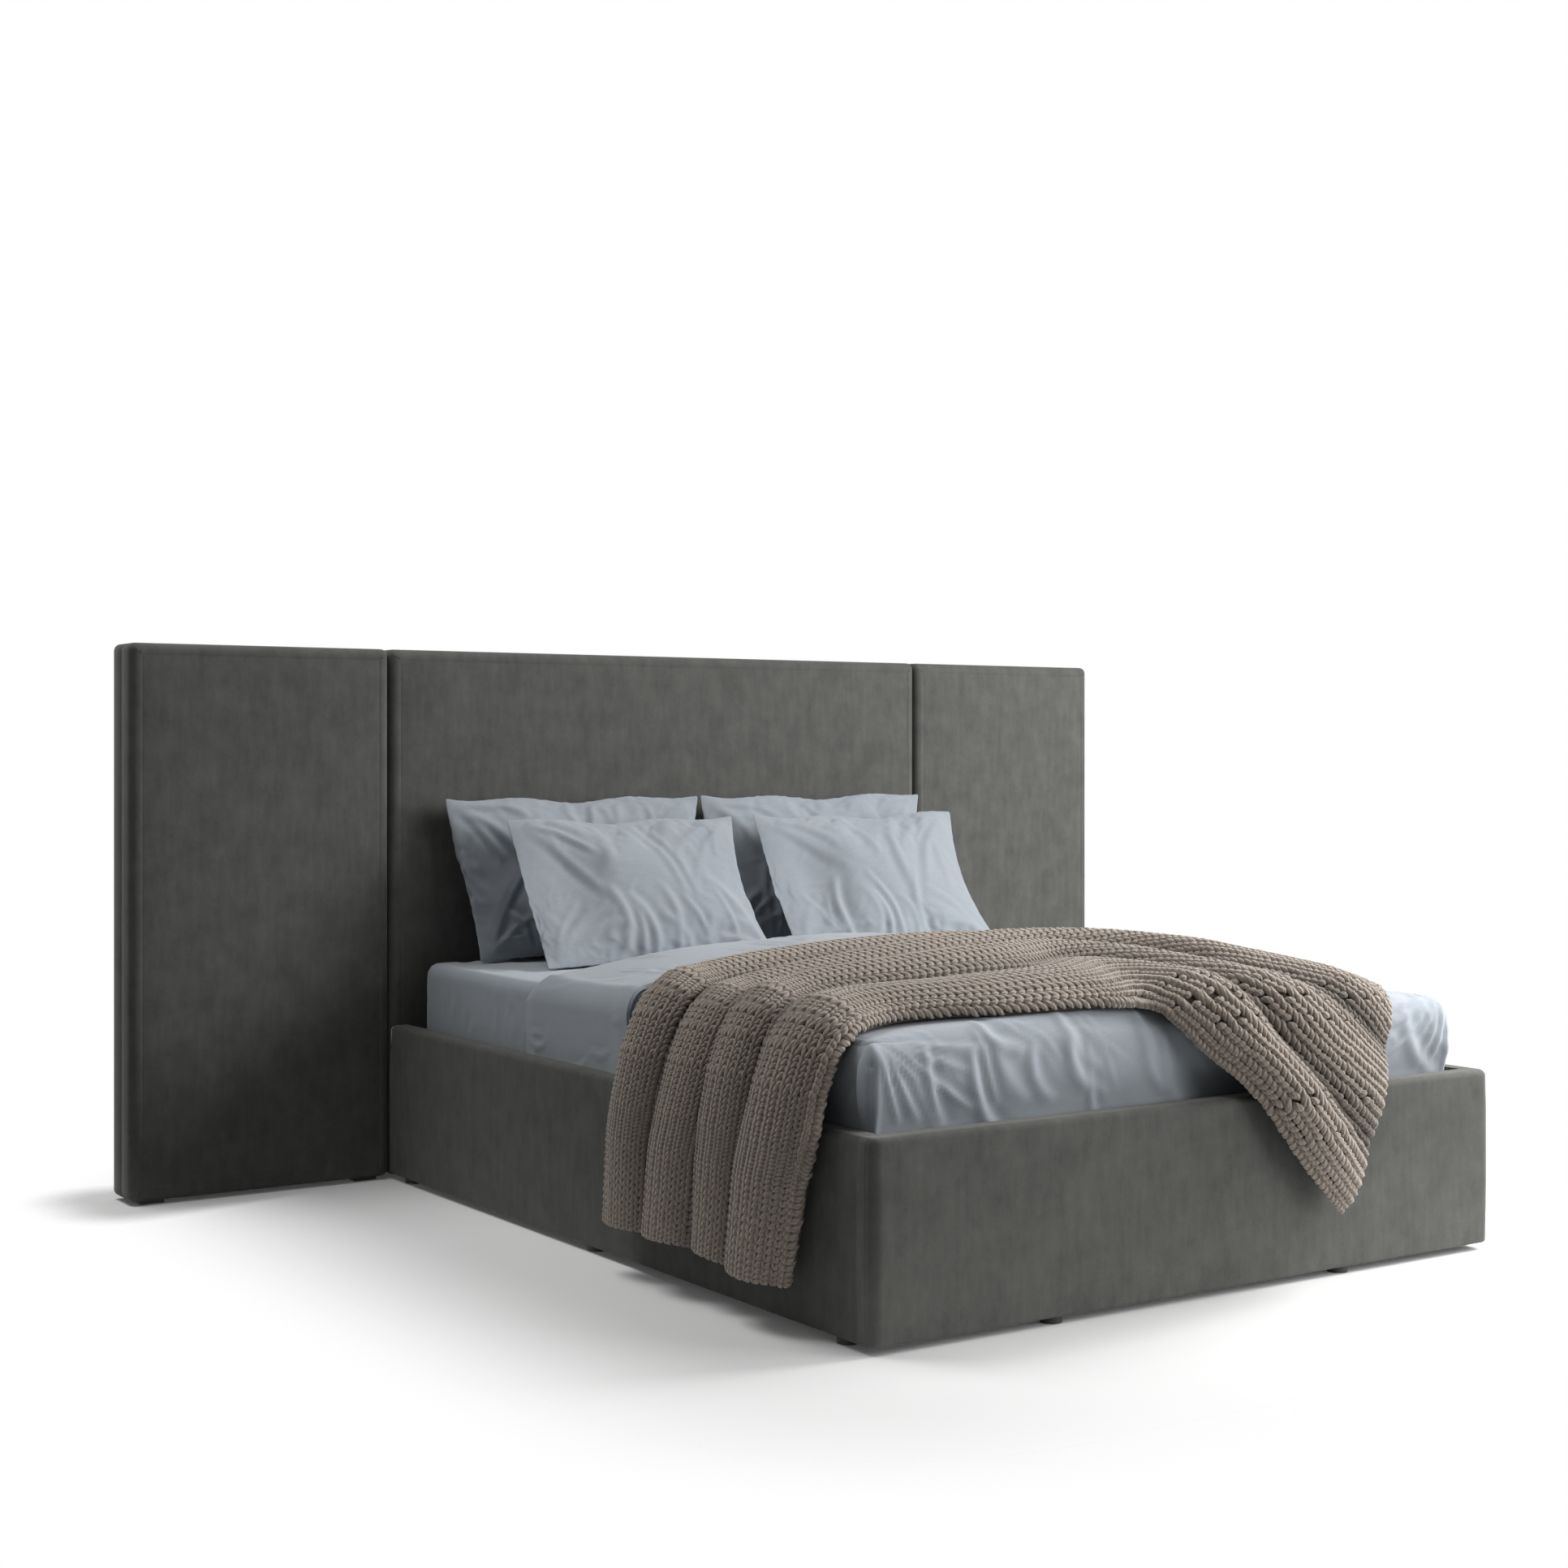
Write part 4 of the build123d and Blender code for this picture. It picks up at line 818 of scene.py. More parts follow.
def make_duvet(scene):
    """The duvet, tucked down at its sides and foot."""
    bedding = scene.bed_bedding
    random = np.random.RandomState(bedding.seed + 1)
    low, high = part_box("duvet")
    edge = bedding.duvet_edge
    piece = cover_form("duvet_cloth", low, high, duvet_top, edge, bedding.duvet_corner, SHEET_TOP - edge - low.z,
                       bedding.duvet_mesh)
    points = points_of(piece)
    normals = normals_of(piece)
    side_or_foot = points[:, 2] < SHEET_TOP - 0.002
    foot = points[:, 1] < low.y + 0.03
    down = np.where(foot, np.maximum(0, SHEET_TOP - points[:, 2]), 0.0)
    flat_b = -points[:, 1] + down
    foot_line = -low.y
    left, right = low.x, high.x
    strokes = []
    for _ in range(bedding.foot_folds):
        x = random.uniform(left + 0.02, right - 0.05)
        lean = random.uniform(0.02, 0.12)
        start = foot_line - random.uniform(-0.03, 0.08)
        reach = random.uniform(0.08, 0.2)
        strokes.append((x, start, x + lean, start + reach, random.uniform(0.008, 0.021),
                        random.uniform(0.25, 1.0) * bedding.crease))
        strokes.append((x + 0.02, start - 0.06, x + 0.02 + lean * 1.5, start + reach * 0.6, 0.005,
                        0.22 * bedding.crease))
    for index in range(6):
        turn = radians(14 + 13 * index)
        size = 0.12 + 0.18 * random.random_sample()
        for hand, corner in ((1, left), (-1, right)):
            strokes.append((corner + hand * 0.02, foot_line - 0.03, corner + hand * (0.02 + size * sin(turn)),
                            foot_line - 0.03 + size * cos(turn), 0.008, bedding.crease * 0.9))
    strokes += random_creases(random, 46, (left + 0.05, -high.y), (right - 0.2, foot_line - 0.12), direction=55,
                              spread=25, length=0.2, width=0.014, rise=bedding.crease * 0.4)
    ruck = creases(points[:, 0], flat_b, strokes)
    side = (np.abs(normals[:, 0]) > 0.6) & ~foot
    side_strokes = random_creases(random, 80, (-high.y, low.z), (foot_line, SHEET_TOP), direction=70, spread=35,
                                  length=0.12, width=0.010, rise=bedding.crease * 0.35)
    ruck = np.where(side, creases(-points[:, 1], points[:, 2], side_strokes), ruck)
    puff = np.sin(points[:, 0] * 6.0 + points[:, 1] * 3.0) * np.sin(points[:, 1] * 5.0 - points[:, 0] * 2.0)
    ruck += (~side_or_foot) * puff * bedding.puff
    height = np.clip((points[:, 2] - RAIL_TOP) / (SHEET_TOP - RAIL_TOP), 0, 1)
    ruck += np.where(side_or_foot & foot, np.sin(height * pi) * bedding.foot_bulge, 0.0)
    corner_line = np.abs(np.abs(points[:, 0]) - (right - 0.012)) + np.maximum(0, points[:, 1] - low.y - 0.16) * 9
    ruck += np.where(foot | (points[:, 1] < low.y + 0.17), groove(corner_line, 0.005) * 0.006, 0.0)
    points += normals * ruck[:, None]
    on_sheet = (points[:, 1] > high.y - 0.03) & (np.abs(points[:, 0]) < right - 0.012)
    points[:, 2] = np.where(on_sheet, np.maximum(points[:, 2], SHEET_TOP - 0.004), points[:, 2])
    move_points(piece, points)
    # The duvet takes the lighter linen copy, which is painted light
    finish_piece(piece, "linen_painted_light", "platform", ["duvet"])


def make_turn_down(scene):
    """The duvet's head end, folded back over it and hanging down both sides."""
    bedding = scene.bed_bedding
    random = np.random.RandomState(bedding.seed + 2)
    piece, share, along = grid("turned_down_duvet", *TURN_DOWN_GRID)
    wave = 0.012 * np.sin(share * 23.0) + 0.008 * np.sin(share * 51.0 + 1.0)
    side = np.clip(np.abs(share * 2 - 1) - 0.74, 0, 0.26) / 0.26
    hem = bedding.turn_down + wave + 0.05 * np.sin(side * pi)
    head_gap = HEAD_FACE - DUVET_HEAD
    from_face = head_gap + 0.002 + along * (hem - head_gap)
    y = HEAD_FACE - from_face
    thick = bedding.turn_thickness
    lift = thick + 0.003 + 0.006 * smoothstep((along - 0.8) / 0.2)
    x, z, out, up = over_bed(share, y, low_corner("duvet").z + 0.02, lift)
    head = from_face - from_face.min()
    edge = bedding.duvet_edge
    z = z - round_fall(edge, np.clip(head, 0, edge)) * up
    strokes = random_creases(random, 70, (0.0, 0.6), (3.0, 1.2), direction=65, spread=45, length=0.16,
                             width=0.012, rise=bedding.crease * 0.45)
    ruck = creases(share * 3.0, from_face, strokes)
    ruck += 0.004 * np.sin(from_face * 11.0 + share * 9.0) * np.sin(share * 17.0)
    ruck *= smoothstep(head / 0.05) * smoothstep((1.0 - along) / 0.1)
    points = np.stack([x + out * ruck, y, z + up * ruck], axis=1)
    move_points(piece, points)
    modified(piece, "SOLIDIFY", thickness=thick, offset=-1.0 if normals_of(piece)[:, 2].mean() > 0 else 1.0)
    modified(piece, "BEVEL", width=thick * 0.42, segments=3, limit_method="ANGLE", angle_limit=radians(60))
    bpy.ops.object.mode_set(mode="EDIT")
    bpy.ops.mesh.select_all(action="SELECT")
    bpy.ops.mesh.normals_make_consistent(inside=False)
    bpy.ops.object.mode_set(mode="OBJECT")
    finish_piece(piece, "linen", "platform")


# Pillows

def straightened(points, u, v, flat_x, flat_y):
    """Moves a blown-up pillow so that its rim lies on the outline that it was cut to."""
    single = len(flat_x)
    for axis, run, cross, flat in ((0, u, v, flat_x), (1, v, u, flat_y)):
        for end in (-1, 1):
            rim = np.where(np.abs(run[:single] - end) < 1e-4)[0]
            order = rim[np.argsort(cross[rim])]
            gap = flat[order] - points[order, axis]
            share = (1 + end * run) / 2
            points[:, axis] += np.interp(cross, cross[order], gap) * share ** 1.5
    return points


def pillow_bag(name, width, height, thickness, seed, simulate):
    piece, across, along = grid(name, *PILLOW_GRID)
    random = np.random.RandomState(seed)
    u, v = across * 2 - 1, along * 2 - 1
    draw_u = 1.0 - 0.05 * (1.0 - v ** 2)
    draw_v = 1.0 - 0.05 * (1.0 - u ** 2)
    x = u * width / 2 * draw_u
    y = v * height / 2 * draw_v
    rough = random.uniform(-1, 1, len(x)) * 0.0012
    points = np.stack([x, y, rough], axis=1)
    move_points(piece, points)
    modified(piece, "SOLIDIFY", thickness=PILLOW_GAP, offset=0.0)
    if simulate:
        bpy.ops.object.modifier_add(type="CLOTH")
        cloth = piece.modifiers[-1]
        for key, value in PILLOW_CLOTH.items():
            setattr(cloth.settings, key, value)
        cloth.settings.effector_weights.gravity = 0.0
        scene = bpy.context.scene
        for step in range(PILLOW_STEPS):
            scene.frame_set(step + 1)
        bpy.context.view_layer.update()
        bpy.ops.object.modifier_apply(modifier=cloth.name)
        scene.frame_set(1)
        points = straightened(points_of(piece), np.tile(u, 2), np.tile(v, 2), x, y)
    else:
        points = points_of(piece)
        u = points[:, 0] / (width / 2)
        v = points[:, 1] / (height / 2)
        bulge = np.clip(1 - u ** 4, 0, 1) ** 0.6 * np.clip(1 - v ** 4, 0, 1) ** 0.6
        points[:, 2] = np.sign(points[:, 2] - rough.mean()) * bulge * thickness / 2
    middle = (points.max(axis=0) + points.min(axis=0)) / 2
    size = points.max(axis=0) - points.min(axis=0)
    points = (points - middle) * (np.array([width, height, thickness]) / size)
    move_points(piece, points)
    modified(piece, "SUBSURF", levels=1, render_levels=1)
    return piece


def pillow_creases(points, width, height, seed, rise):
    """Height of a pillow's creases: from its corners, up from its lower edge and down from its upper edge."""
    random = np.random.RandomState(seed)
    strokes = []
    for hand_x in (-1, 1):
        for hand_y in (-1, 1):
            for _ in range(5):
                turn = radians(random.uniform(8, 60))
                size = random.uniform(0.12, 0.3)
                x, y = hand_x * (width / 2 - 0.025), hand_y * (height / 2 - 0.02)
                strokes.append((x, y, x - hand_x * size * cos(turn), y - hand_y * size * sin(turn),
                                random.uniform(0.008, 0.018), rise * random.uniform(0.4, 1.0)))
    for count, hand, reach, sizes, leans, widths, rises in (
        (11, -1, (-0.36, 0.36), (0.08, 0.24), (-0.09, 0.03), (0.008, 0.017), (0.4, 1.1)),
        (5, 1, (-0.2, 0.3), (0.12, 0.3), (-0.02, 0.1), (0.010, 0.02), (0.3, 0.8)),
    ):
        y = hand * (height / 2 - 0.02)
        for _ in range(count):
            x = random.uniform(*reach) * width
            size = random.uniform(*sizes)
            strokes.append((x, y, x + random.uniform(*leans), y - hand * size, random.uniform(*widths),
                            rise * random.uniform(*rises)))
    for _ in range(26):
        x, y = random.uniform(-0.42, 0.42) * width, random.uniform(-0.4, 0.4) * height
        turn = radians(random.uniform(-30, 70))
        size = random.uniform(0.05, 0.13)
        strokes.append((x, y, x + size * cos(turn), y + size * sin(turn), 0.006, rise * 0.22))
    broad = 0.006 * np.sin(points[:, 0] * 13.0 + points[:, 1] * 8.0 + seed) * np.cos(points[:, 1] * 14.0 - seed)
    return creases(points[:, 0], points[:, 1], strokes) + broad


def make_pillows(scene):
    """Two sleeping pillows against the headboard and two smaller ones before them."""
    group = scene.bed_pillows
    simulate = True
    for name, place, lean, seed in (
        ("pillow_back_left", group.back_place, group.back_lean, 11),
        ("pillow_back_right", group.back_place, group.back_lean, 23),
        ("pillow_front_left", group.front_place, group.front_lean, 37),
        ("pillow_front_right", group.front_place, group.front_lean, 41),
    ):
        low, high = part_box(name)
        width = high.x - low.x
        thickness = group.back_thickness if "back" in name else group.front_thickness
        piece = pillow_bag(name + "_linen", width * PILLOW_SPARE, group.height, thickness, seed, simulate)
        points = points_of(piece)
        u = points[:, 0] / points[:, 0].max()
        v = points[:, 1] / points[:, 1].max()
        points[:, 2] *= (1.0 - 0.38 * u ** 2) * (1.0 - 0.22 * v ** 2)
        if "front" in name:
            points[:, 2] *= 1.0 - 0.72 * smoothstep((-u - 0.22) / 0.5) * smoothstep(1.25 - np.abs(v))
        points[:, 2] *= thickness / 2 / points[:, 2].max()
        hand = np.sign(points[:, 2]) * smoothstep(np.abs(points[:, 2]) / 0.02)
        points[:, 2] += hand * pillow_creases(points, width, group.height, seed, group.crease)
        points[:, 1] += smoothstep(v) * 0.006 * np.sin(points[:, 0] * 19.0 + seed)
        points[:, 0] += PILLOW_TUCKS.get(name, 0.0) * smoothstep(-u) * smoothstep(0.5 - v / 2)
        rise = points[:, 1] + group.height / 2
        share = rise / group.height
        out = points[:, 2] * (1.12 - 0.3 * share)
        bend = 0.03 * np.sin(np.clip(share, 0, 1) * pi)
        out = out - bend + 0.03 * (points[:, 0] / width) ** 2
        x = points[:, 0] + (low.x + high.x) / 2
        y = HEAD_FACE - place + rise * sin(lean) - out * cos(lean)
        z = SHEET_TOP + group.lift + rise * cos(lean) + out * sin(lean)
        z = np.maximum(z, SHEET_TOP + group.lift * np.clip((z - SHEET_TOP) / 0.02, 0, 1) + MILLIMETRE)
        y = np.minimum(y, HEAD_FACE - 0.004)
        move_points(piece, np.stack([x, y, z], axis=1))
        # The pillows take the darker linen copy, which is painted shade
        finish_piece(piece, "linen_painted_shade", name, [name])


# Throw

# Places on the flattened bed, in millimetres, at five shares of the throw's width and twelve stations of
# its length. The first number is across the bed, running on down the left side past the edge line. The
# second is from the headboard's face, running on down the foot past the foot line.
THROW_GUIDES = (
    ((-1275, 1252), (-1272, 1410), (-1268, 1590), (-1280, 1760), (-1275, 1930)),
    ((-1093, 1275), (-1093, 1432), (-1093, 1615), (-1093, 1795), (-1093, 1975)),
    ((-980, 1297), (-980, 1455), (-980, 1635), (-980, 1818), (-980, 2003)),
    ((-820, 1299), (-820, 1465), (-820, 1640), (-820, 1815), (-820, 2000)),
    ((-690, 1240), (-680, 1400), (-670, 1570), (-660, 1750), (-650, 1950)),
    ((-450, 1217), (-445, 1390), (-440, 1570), (-435, 1780), (-430, 2010)),
    ((-200, 1235), (-200, 1400), (-195, 1580), (-190, 1790), (-185, 2045)),
    ((95, 1245), (70, 1400), (30, 1560), (-30, 1740), (-90, 2062)),
    ((350, 1190), (300, 1400), (230, 1620), (120, 1850), (-20, 2140)),
    ((560, 1190), (480, 1450), (370, 1740), (240, 2010), (90, 2250)),
    ((700, 1290), (620, 1560), (500, 1880), (370, 2160), (210, 2400)),
    ((770, 1450), (770, 1720), (600, 2050), (481, 2260), (330, 2525)),
)
EDGE_LINE = -700
FOOT_LINE = 1980
# How the throw falls past those lines: outwards and down, in millimetres
SIDE_FALL = ((0, 0), (60, -5), (100, -22), (125, -52), (150, -112), (163, -177), (169, -212), (174, -292),
             (176, -480), (177, -700))
FOOT_FALL = ((0, 0), (60, -8), (95, -28), (120, -65), (142, -120), (170, -175), (188, -215), (198, -280),
             (204, -460), (206, -700))
# Where the valleys between the folds lie across the throw: gathered on the left, and spread on the right
VALLEYS_GATHERED = (0.25, 0.5, 0.73)
VALLEYS_SPREAD = (0.46, 0.68, 0.86)
# Along the throw, from its left hem to the foot: height of the folds in millimetres, how much of it the first
# fold keeps, and how sharp the valleys are
FOLD_HEIGHTS = ((0, 0.1, 0.3, 0.45, 0.62, 0.8, 0.93, 1.0), (41, 46, 50, 46, 54, 54, 34, 10))
FIRST_FOLD = ((0.6, 0.72, 0.85, 1.0), (1.0, 0.7, 0.3, 0.3))
SHARPNESS = ((0.5, 0.75), (0.5, 0.9))
BACKING_THICKNESS = 0.003


def smooth_table(table, places):
    """Interpolates rows of a table along its first axis with smooth curves."""
    table = np.asarray(table, dtype=float)
    last = len(table) - 1
    index = np.clip(np.floor(places).astype(int), 0, last - 1)
    part = (places - index).reshape((-1,) + (1,) * (table.ndim - 1))
    before = table[np.maximum(index - 1, 0)]
    start = table[index]
    end = table[index + 1]
    after = table[np.minimum(index + 2, last)]
    slope_in = (end - before) / 2
    slope_out = (after - start) / 2
    square, cube = part ** 2, part ** 3
    return ((2 * cube - 3 * square + 1) * start + (cube - 2 * square + part) * slope_in
            + (3 * square - 2 * cube) * end + (cube - square) * slope_out)


def along_fall(fall, distance):
    """Outwards and downwards way at a distance along one of the falls."""
    fall = np.asarray(fall, dtype=float)
    run = np.concatenate([[0], np.cumsum(np.hypot(*np.diff(fall, axis=0).T))])
    return np.interp(distance, run, fall[:, 0]), np.interp(distance, run, fall[:, 1])


def lay_on_bed(across, along, lift):
    """Points in metres of cloth laid on the bed, from its flattened places. Its lift, in millimetres, is not
    used.
    """
    side = np.maximum(0.0, EDGE_LINE - across)
    foot = np.maximum(0.0, along - FOOT_LINE)
    side_out, side_down = along_fall(SIDE_FALL, side)
    foot_out, foot_down = along_fall(FOOT_FALL, foot)
    x = np.maximum(across, EDGE_LINE) - side_out
    from_face = np.minimum(along, FOOT_LINE) + foot_out
    y = HEAD_FACE - from_face * MILLIMETRE
    on_top_y = np.maximum(y, HEAD_FACE - FOOT_LINE * MILLIMETRE)
    top = duvet_top(np.maximum(x, EDGE_LINE) * MILLIMETRE, on_top_y)
    z = top + (side_down + foot_down) * MILLIMETRE
    return np.stack([x * MILLIMETRE, y, z], axis=-1)


def throw_surface(group, rows, columns):
    """The throw's middle surface as a grid of points, its unit normals and its swell, which is 0 in a valley and
    paints shade into the yarn's colour there.
    """
    s = np.linspace(0, 1, rows)
    t = np.linspace(0, 1, columns)
    guides = smooth_table(THROW_GUIDES, s * (len(THROW_GUIDES) - 1))
    guides = np.transpose(guides, (1, 0, 2))
    net = smooth_table(guides, t * (len(guides) - 1))
    net = np.transpose(net, (1, 0, 2))
    wander = 0.012 * np.sin(s[:, None] * 9.0 + np.array([0.4, 2.2, 4.0])[None, :])
    spread = smoothstep((s - 0.58) / 0.26)[:, None]
    valleys = np.array(VALLEYS_GATHERED) * (1 - spread) + np.array(VALLEYS_SPREAD) * spread + wander
    edges = np.concatenate([np.zeros((rows, 1)), valleys, np.ones((rows, 1))], axis=1)
    tau = np.zeros((rows, columns))
    fold = np.zeros((rows, columns))
    for index in range(edges.shape[1] - 1):
        start, end = edges[:, index][:, None], edges[:, index + 1][:, None]
        inside = (t[None, :] >= start) & (t[None, :] <= end)
        share = np.clip((t[None, :] - start) / (end - start), 0, 1)
        tau = np.where(inside, share, tau)
        fold = np.where(inside, index, fold)
    depth = np.interp(s, *FOLD_HEIGHTS)[:, None] * np.where(fold < 1, np.interp(s, *FIRST_FOLD)[:, None], 1.0)
    depth = depth * (1.0 + 0.22 * np.sin(fold * 2.4 + s[:, None] * 7.0))
    hump = np.sin(np.clip(tau, 0, 1) ** 0.8 * pi) ** np.interp(s, *SHARPNESS)[:, None]
    lift = depth * hump * group.fold
    lean = lift * 0.45 * np.sin(np.clip(tau, 0, 1) * pi)
    base = lay_on_bed(net[..., 0], net[..., 1] + lean * 0.6, 0.0)
    normal = surface_normals(base)
    points = base + normal * (lift * MILLIMETRE + group.clearance)[..., None]
    hem = ((fold < 1) & (tau < 0.5)) | ((fold >= edges.shape[1] - 2) & (tau > 0.5))
    swell = np.where(hem, 1.0, hump)
    return points, surface_normals(points), swell[..., None]


def surface_normals(points):
    """Unit normals of a grid of points, away from the bed."""
    along = np.gradient(points, axis=0)
    across = np.gradient(points, axis=1)
    normal = unit(np.cross(along, across))
    if normal[normal.shape[0] // 2, normal.shape[1] // 2, 2] < 0:
        normal = -normal
    return normal


def sample(table, row, column):
    """Values of a grid between its points."""
    rows, columns = table.shape[:2]
    row = np.clip(row, 0, 1) * (rows - 1)
    column = np.clip(column, 0, 1) * (columns - 1)
    low_row = np.minimum(row.astype(int), rows - 2)
    low_column = np.minimum(column.astype(int), columns - 2)
    part_row = (row - low_row)[..., None]
    part_column = (column - low_column)[..., None]
    top = table[low_row, low_column] * (1 - part_column) + table[low_row, low_column + 1] * part_column
    bottom = (table[low_row + 1, low_column] * (1 - part_column)
              + table[low_row + 1, low_column + 1] * part_column)
    return top * (1 - part_row) + bottom * part_row


def make_throw(scene):
    """A chunky knitted throw: a dark backing cloth, whose colour is painted shade between the stitches, and the
    yarn of every stitch on it.
    """
    group = scene.bed_throw
    points, normals, swells_for_painted_shade = throw_surface(group, *THROW_NET)
    backing, across, along = grid("throw_shade_backing", *BACKING_GRID)
    move_points(backing, sample(points, along, across) + sample(normals, along, across) * MILLIMETRE)
    modified(backing, "SOLIDIFY", thickness=BACKING_THICKNESS, offset=-1.0)
    # The backing's dark colour is painted shade between the stitches
    finish_piece(backing, "knit_back_painted_shade", "platform", ["throw"])

    pieces = []
    for band in range(STITCH_BANDS):
        first = group.courses * band // STITCH_BANDS
        last = group.courses * (band + 1) // STITCH_BANDS
        pieces.append(knit_band("throw_stitches_" + str(band + 1), points, normals, swells_for_painted_shade, first, last, group))
    for piece in pieces:
        finish_piece(piece, "knit", "platform")


def yarn_mesh(name, vertices, count):
    """One mesh of many closed tubes, from their points ring by ring, with a UV map round and along each."""
    rings, sides = len(STITCH_RINGS), YARN_SIDES
    around = np.arange(sides)
    following = (around + 1) % sides
    tube = np.stack([around, following, following + sides, around + sides], axis=1)
    faces = np.concatenate([tube + ring * sides for ring in range(rings - 1)])
    caps = np.stack([around[::-1], (rings - 1) * sides + around])
    starts = np.arange(count) * rings * sides
    quads = (starts[:, None, None] + faces[None]).reshape(-1, 4)
    ends = (starts[:, None, None] + caps[None]).reshape(-1, sides)
    mesh = bpy.data.meshes.new(name)
    mesh.vertices.add(len(vertices))
    mesh.vertices.foreach_set("co", vertices.ravel())
    loops = np.concatenate([quads.ravel(), ends.ravel()])
    mesh.loops.add(len(loops))
    mesh.loops.foreach_set("vertex_index", loops)
    totals = np.concatenate([np.full(len(quads), 4), np.full(len(ends), sides)])
    mesh.polygons.add(len(totals))
    mesh.polygons.foreach_set("loop_start", np.concatenate([[0], np.cumsum(totals)[:-1]]))
    mesh.update(calc_edges=True)
    mesh.validate()
    layer = mesh.uv_layers.new(name="yarn")
    corner = np.empty(len(mesh.loops), dtype=int)
    mesh.loops.foreach_get("vertex_index", corner)
    local = corner % (rings * sides)
    turn_share = (local % sides) / sides
    length_share = (local // sides) / (rings - 1)
    layer.data.foreach_set("uv", np.stack([turn_share, length_share], axis=1).ravel())
    return mesh


def knit_band(name, points, normals, swells_for_painted_shade, first, last, group):
    """The yarn legs of some courses, as one mesh: two fat legs to each stitch."""
    wales, courses = group.wales, group.courses
    course, wale, side = np.meshgrid(np.arange(first, last), np.arange(wales), (-1, 1), indexing="ij")
    course, wale, side = course.ravel(), wale.ravel(), side.ravel()
    random = np.random.RandomState(group.seed + first)
    jitter = random.uniform(-0.04, 0.04, (len(course), 3))
    middle_row = (course + 0.5) / courses
    stitch_width = np.linalg.norm(sample(points, middle_row, (wale + 1.0) / wales)
                                  - sample(points, middle_row, wale / wales), axis=-1)
    yarn = (group.yarn * np.clip(stitch_width, 0.012, 0.034))[:, None]
    centres = []
    for up, out, rise, swell in STITCH_RINGS:
        row = np.clip((course + 0.5 + up + jitter[:, 0]) / courses, 0, 1)
        column = (wale + 0.5 + side * out + jitter[:, 1]) / wales
        centre = sample(points, row, column)
        face = unit(sample(normals, row, column))
        centres.append((centre + face * yarn * (0.35 + rise * 0.7), face, swell))
    vertices = []
    for index, (centre, face, swell) in enumerate(centres):
        before = centres[max(index - 1, 0)][0]
        after = centres[min(index + 1, len(centres) - 1)][0]
        way = unit(after - before)
        aside = unit(np.cross(way, face))
        above = np.cross(aside, way)
        radius = yarn * swell * (1 + jitter[:, 2:3])
        for step in range(YARN_SIDES):
            turn = 2 * pi * step / YARN_SIDES
            vertices.append(centre + aside * (cos(turn) * radius) + above * (sin(turn) * radius * 0.85))
    mesh = yarn_mesh(name, np.stack(vertices, axis=1).reshape(-1, 3), len(course))
    # Painted shade: each stitch's swell goes to the yarn's colour and darkens it in the folds' valleys
    swell = sample(swells_for_painted_shade, middle_row, (wale + 0.5 + side * 0.25) / wales)[:, 0]
    mesh.attributes.new("swell", "FLOAT", "POINT").data.foreach_set("value", np.repeat(swell, len(vertices)))
    piece = bpy.data.objects.new(name, mesh)
    bpy.context.collection.objects.link(piece)
    return piece


# Stage

def distance_outside(across, along, half, front, back):
    """Distance on the floor from a rectangle that lies evenly across the middle."""
    middle, reach = (front + back) / 2, abs(back - front) / 2
    out_across = (across.math("ABSOLUTE") - half).math("MAXIMUM", 0.0)
    out_along = ((along - middle).math("ABSOLUTE") - reach).math("MAXIMUM", 0.0)
    return (out_across * out_across + out_along * out_along).math("SQRT")


def make_floor(stage):
    """A pale floor that fades out round the bed."""
    deselect()
    bpy.ops.mesh.primitive_circle_add(vertices=96, radius=stage.floor_radius, fill_type="NGON",
                                      location=stage.floor_middle)
    floor = named("floor")
    fix_place(floor)
    finish = Finish("floor", Roughness=0.9, Specular_IOR_Level=0.1)
    grain = finish.noise(finish.object_place, 3.0)
    finish.set(Base_Color=finish.blend(grain, (0.93, 0.93, 0.925, 1), (0.96, 0.96, 0.955, 1)))
    across, along = (finish.node("ShaderNodeSeparateXYZ", {}, axis, Vector=finish.object_place) for axis in "XY")
    from_box = distance_outside(across, along, RAIL_OUTER, FOOT_FACE, HEAD_FACE)
    head_low, head_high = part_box("headboard_right_cover")
    from_headboard = distance_outside(across, along, head_high.x, head_low.y, head_high.y)
    apart = from_box.math("MINIMUM", from_headboard * stage.head_fade)
    fade = ((apart - stage.fade_start) / (stage.fade_end - stage.fade_start)).clamped()
    fade = fade.eased() * (1.0 - stage.floor_clear) + stage.floor_clear
    clear = finish.node("ShaderNodeBsdfTransparent")
    mix = finish.tree.nodes.new("ShaderNodeMixShader")
    feed(finish.tree, fade, mix.inputs[0])
    finish.tree.links.new(finish.shader.outputs[0], mix.inputs[1])
    finish.tree.links.new(clear.socket, mix.inputs[2])
    output = next(n for n in finish.tree.nodes if n.type == "OUTPUT_MATERIAL")
    finish.tree.links.new(mix.outputs[0], output.inputs[0])
    floor.data.materials.append(finish.material)


def make_surround(scene, stage):
    """White where the camera sees it or something mirrors it, and a weak light from all round."""
    world = bpy.data.worlds.new("surround")
    scene.world = world
    world.use_nodes = True
    tree = world.node_tree
    background = next(n for n in tree.nodes if n.type == "BACKGROUND")
    path = tree.nodes.new("ShaderNodeLightPath")
    seen = Value(tree, path.outputs["Is Camera Ray"]) + Value(tree, path.outputs["Is Glossy Ray"])
    seen = (seen + Value(tree, path.outputs["Is Transmission Ray"])).math("MINIMUM", 1.0)
    feed(tree, seen * (1.0 - stage.ambient) + stage.ambient, background.inputs["Strength"])
    background.inputs["Color"].default_value = (1.0, 1.0, 1.0, 1.0)


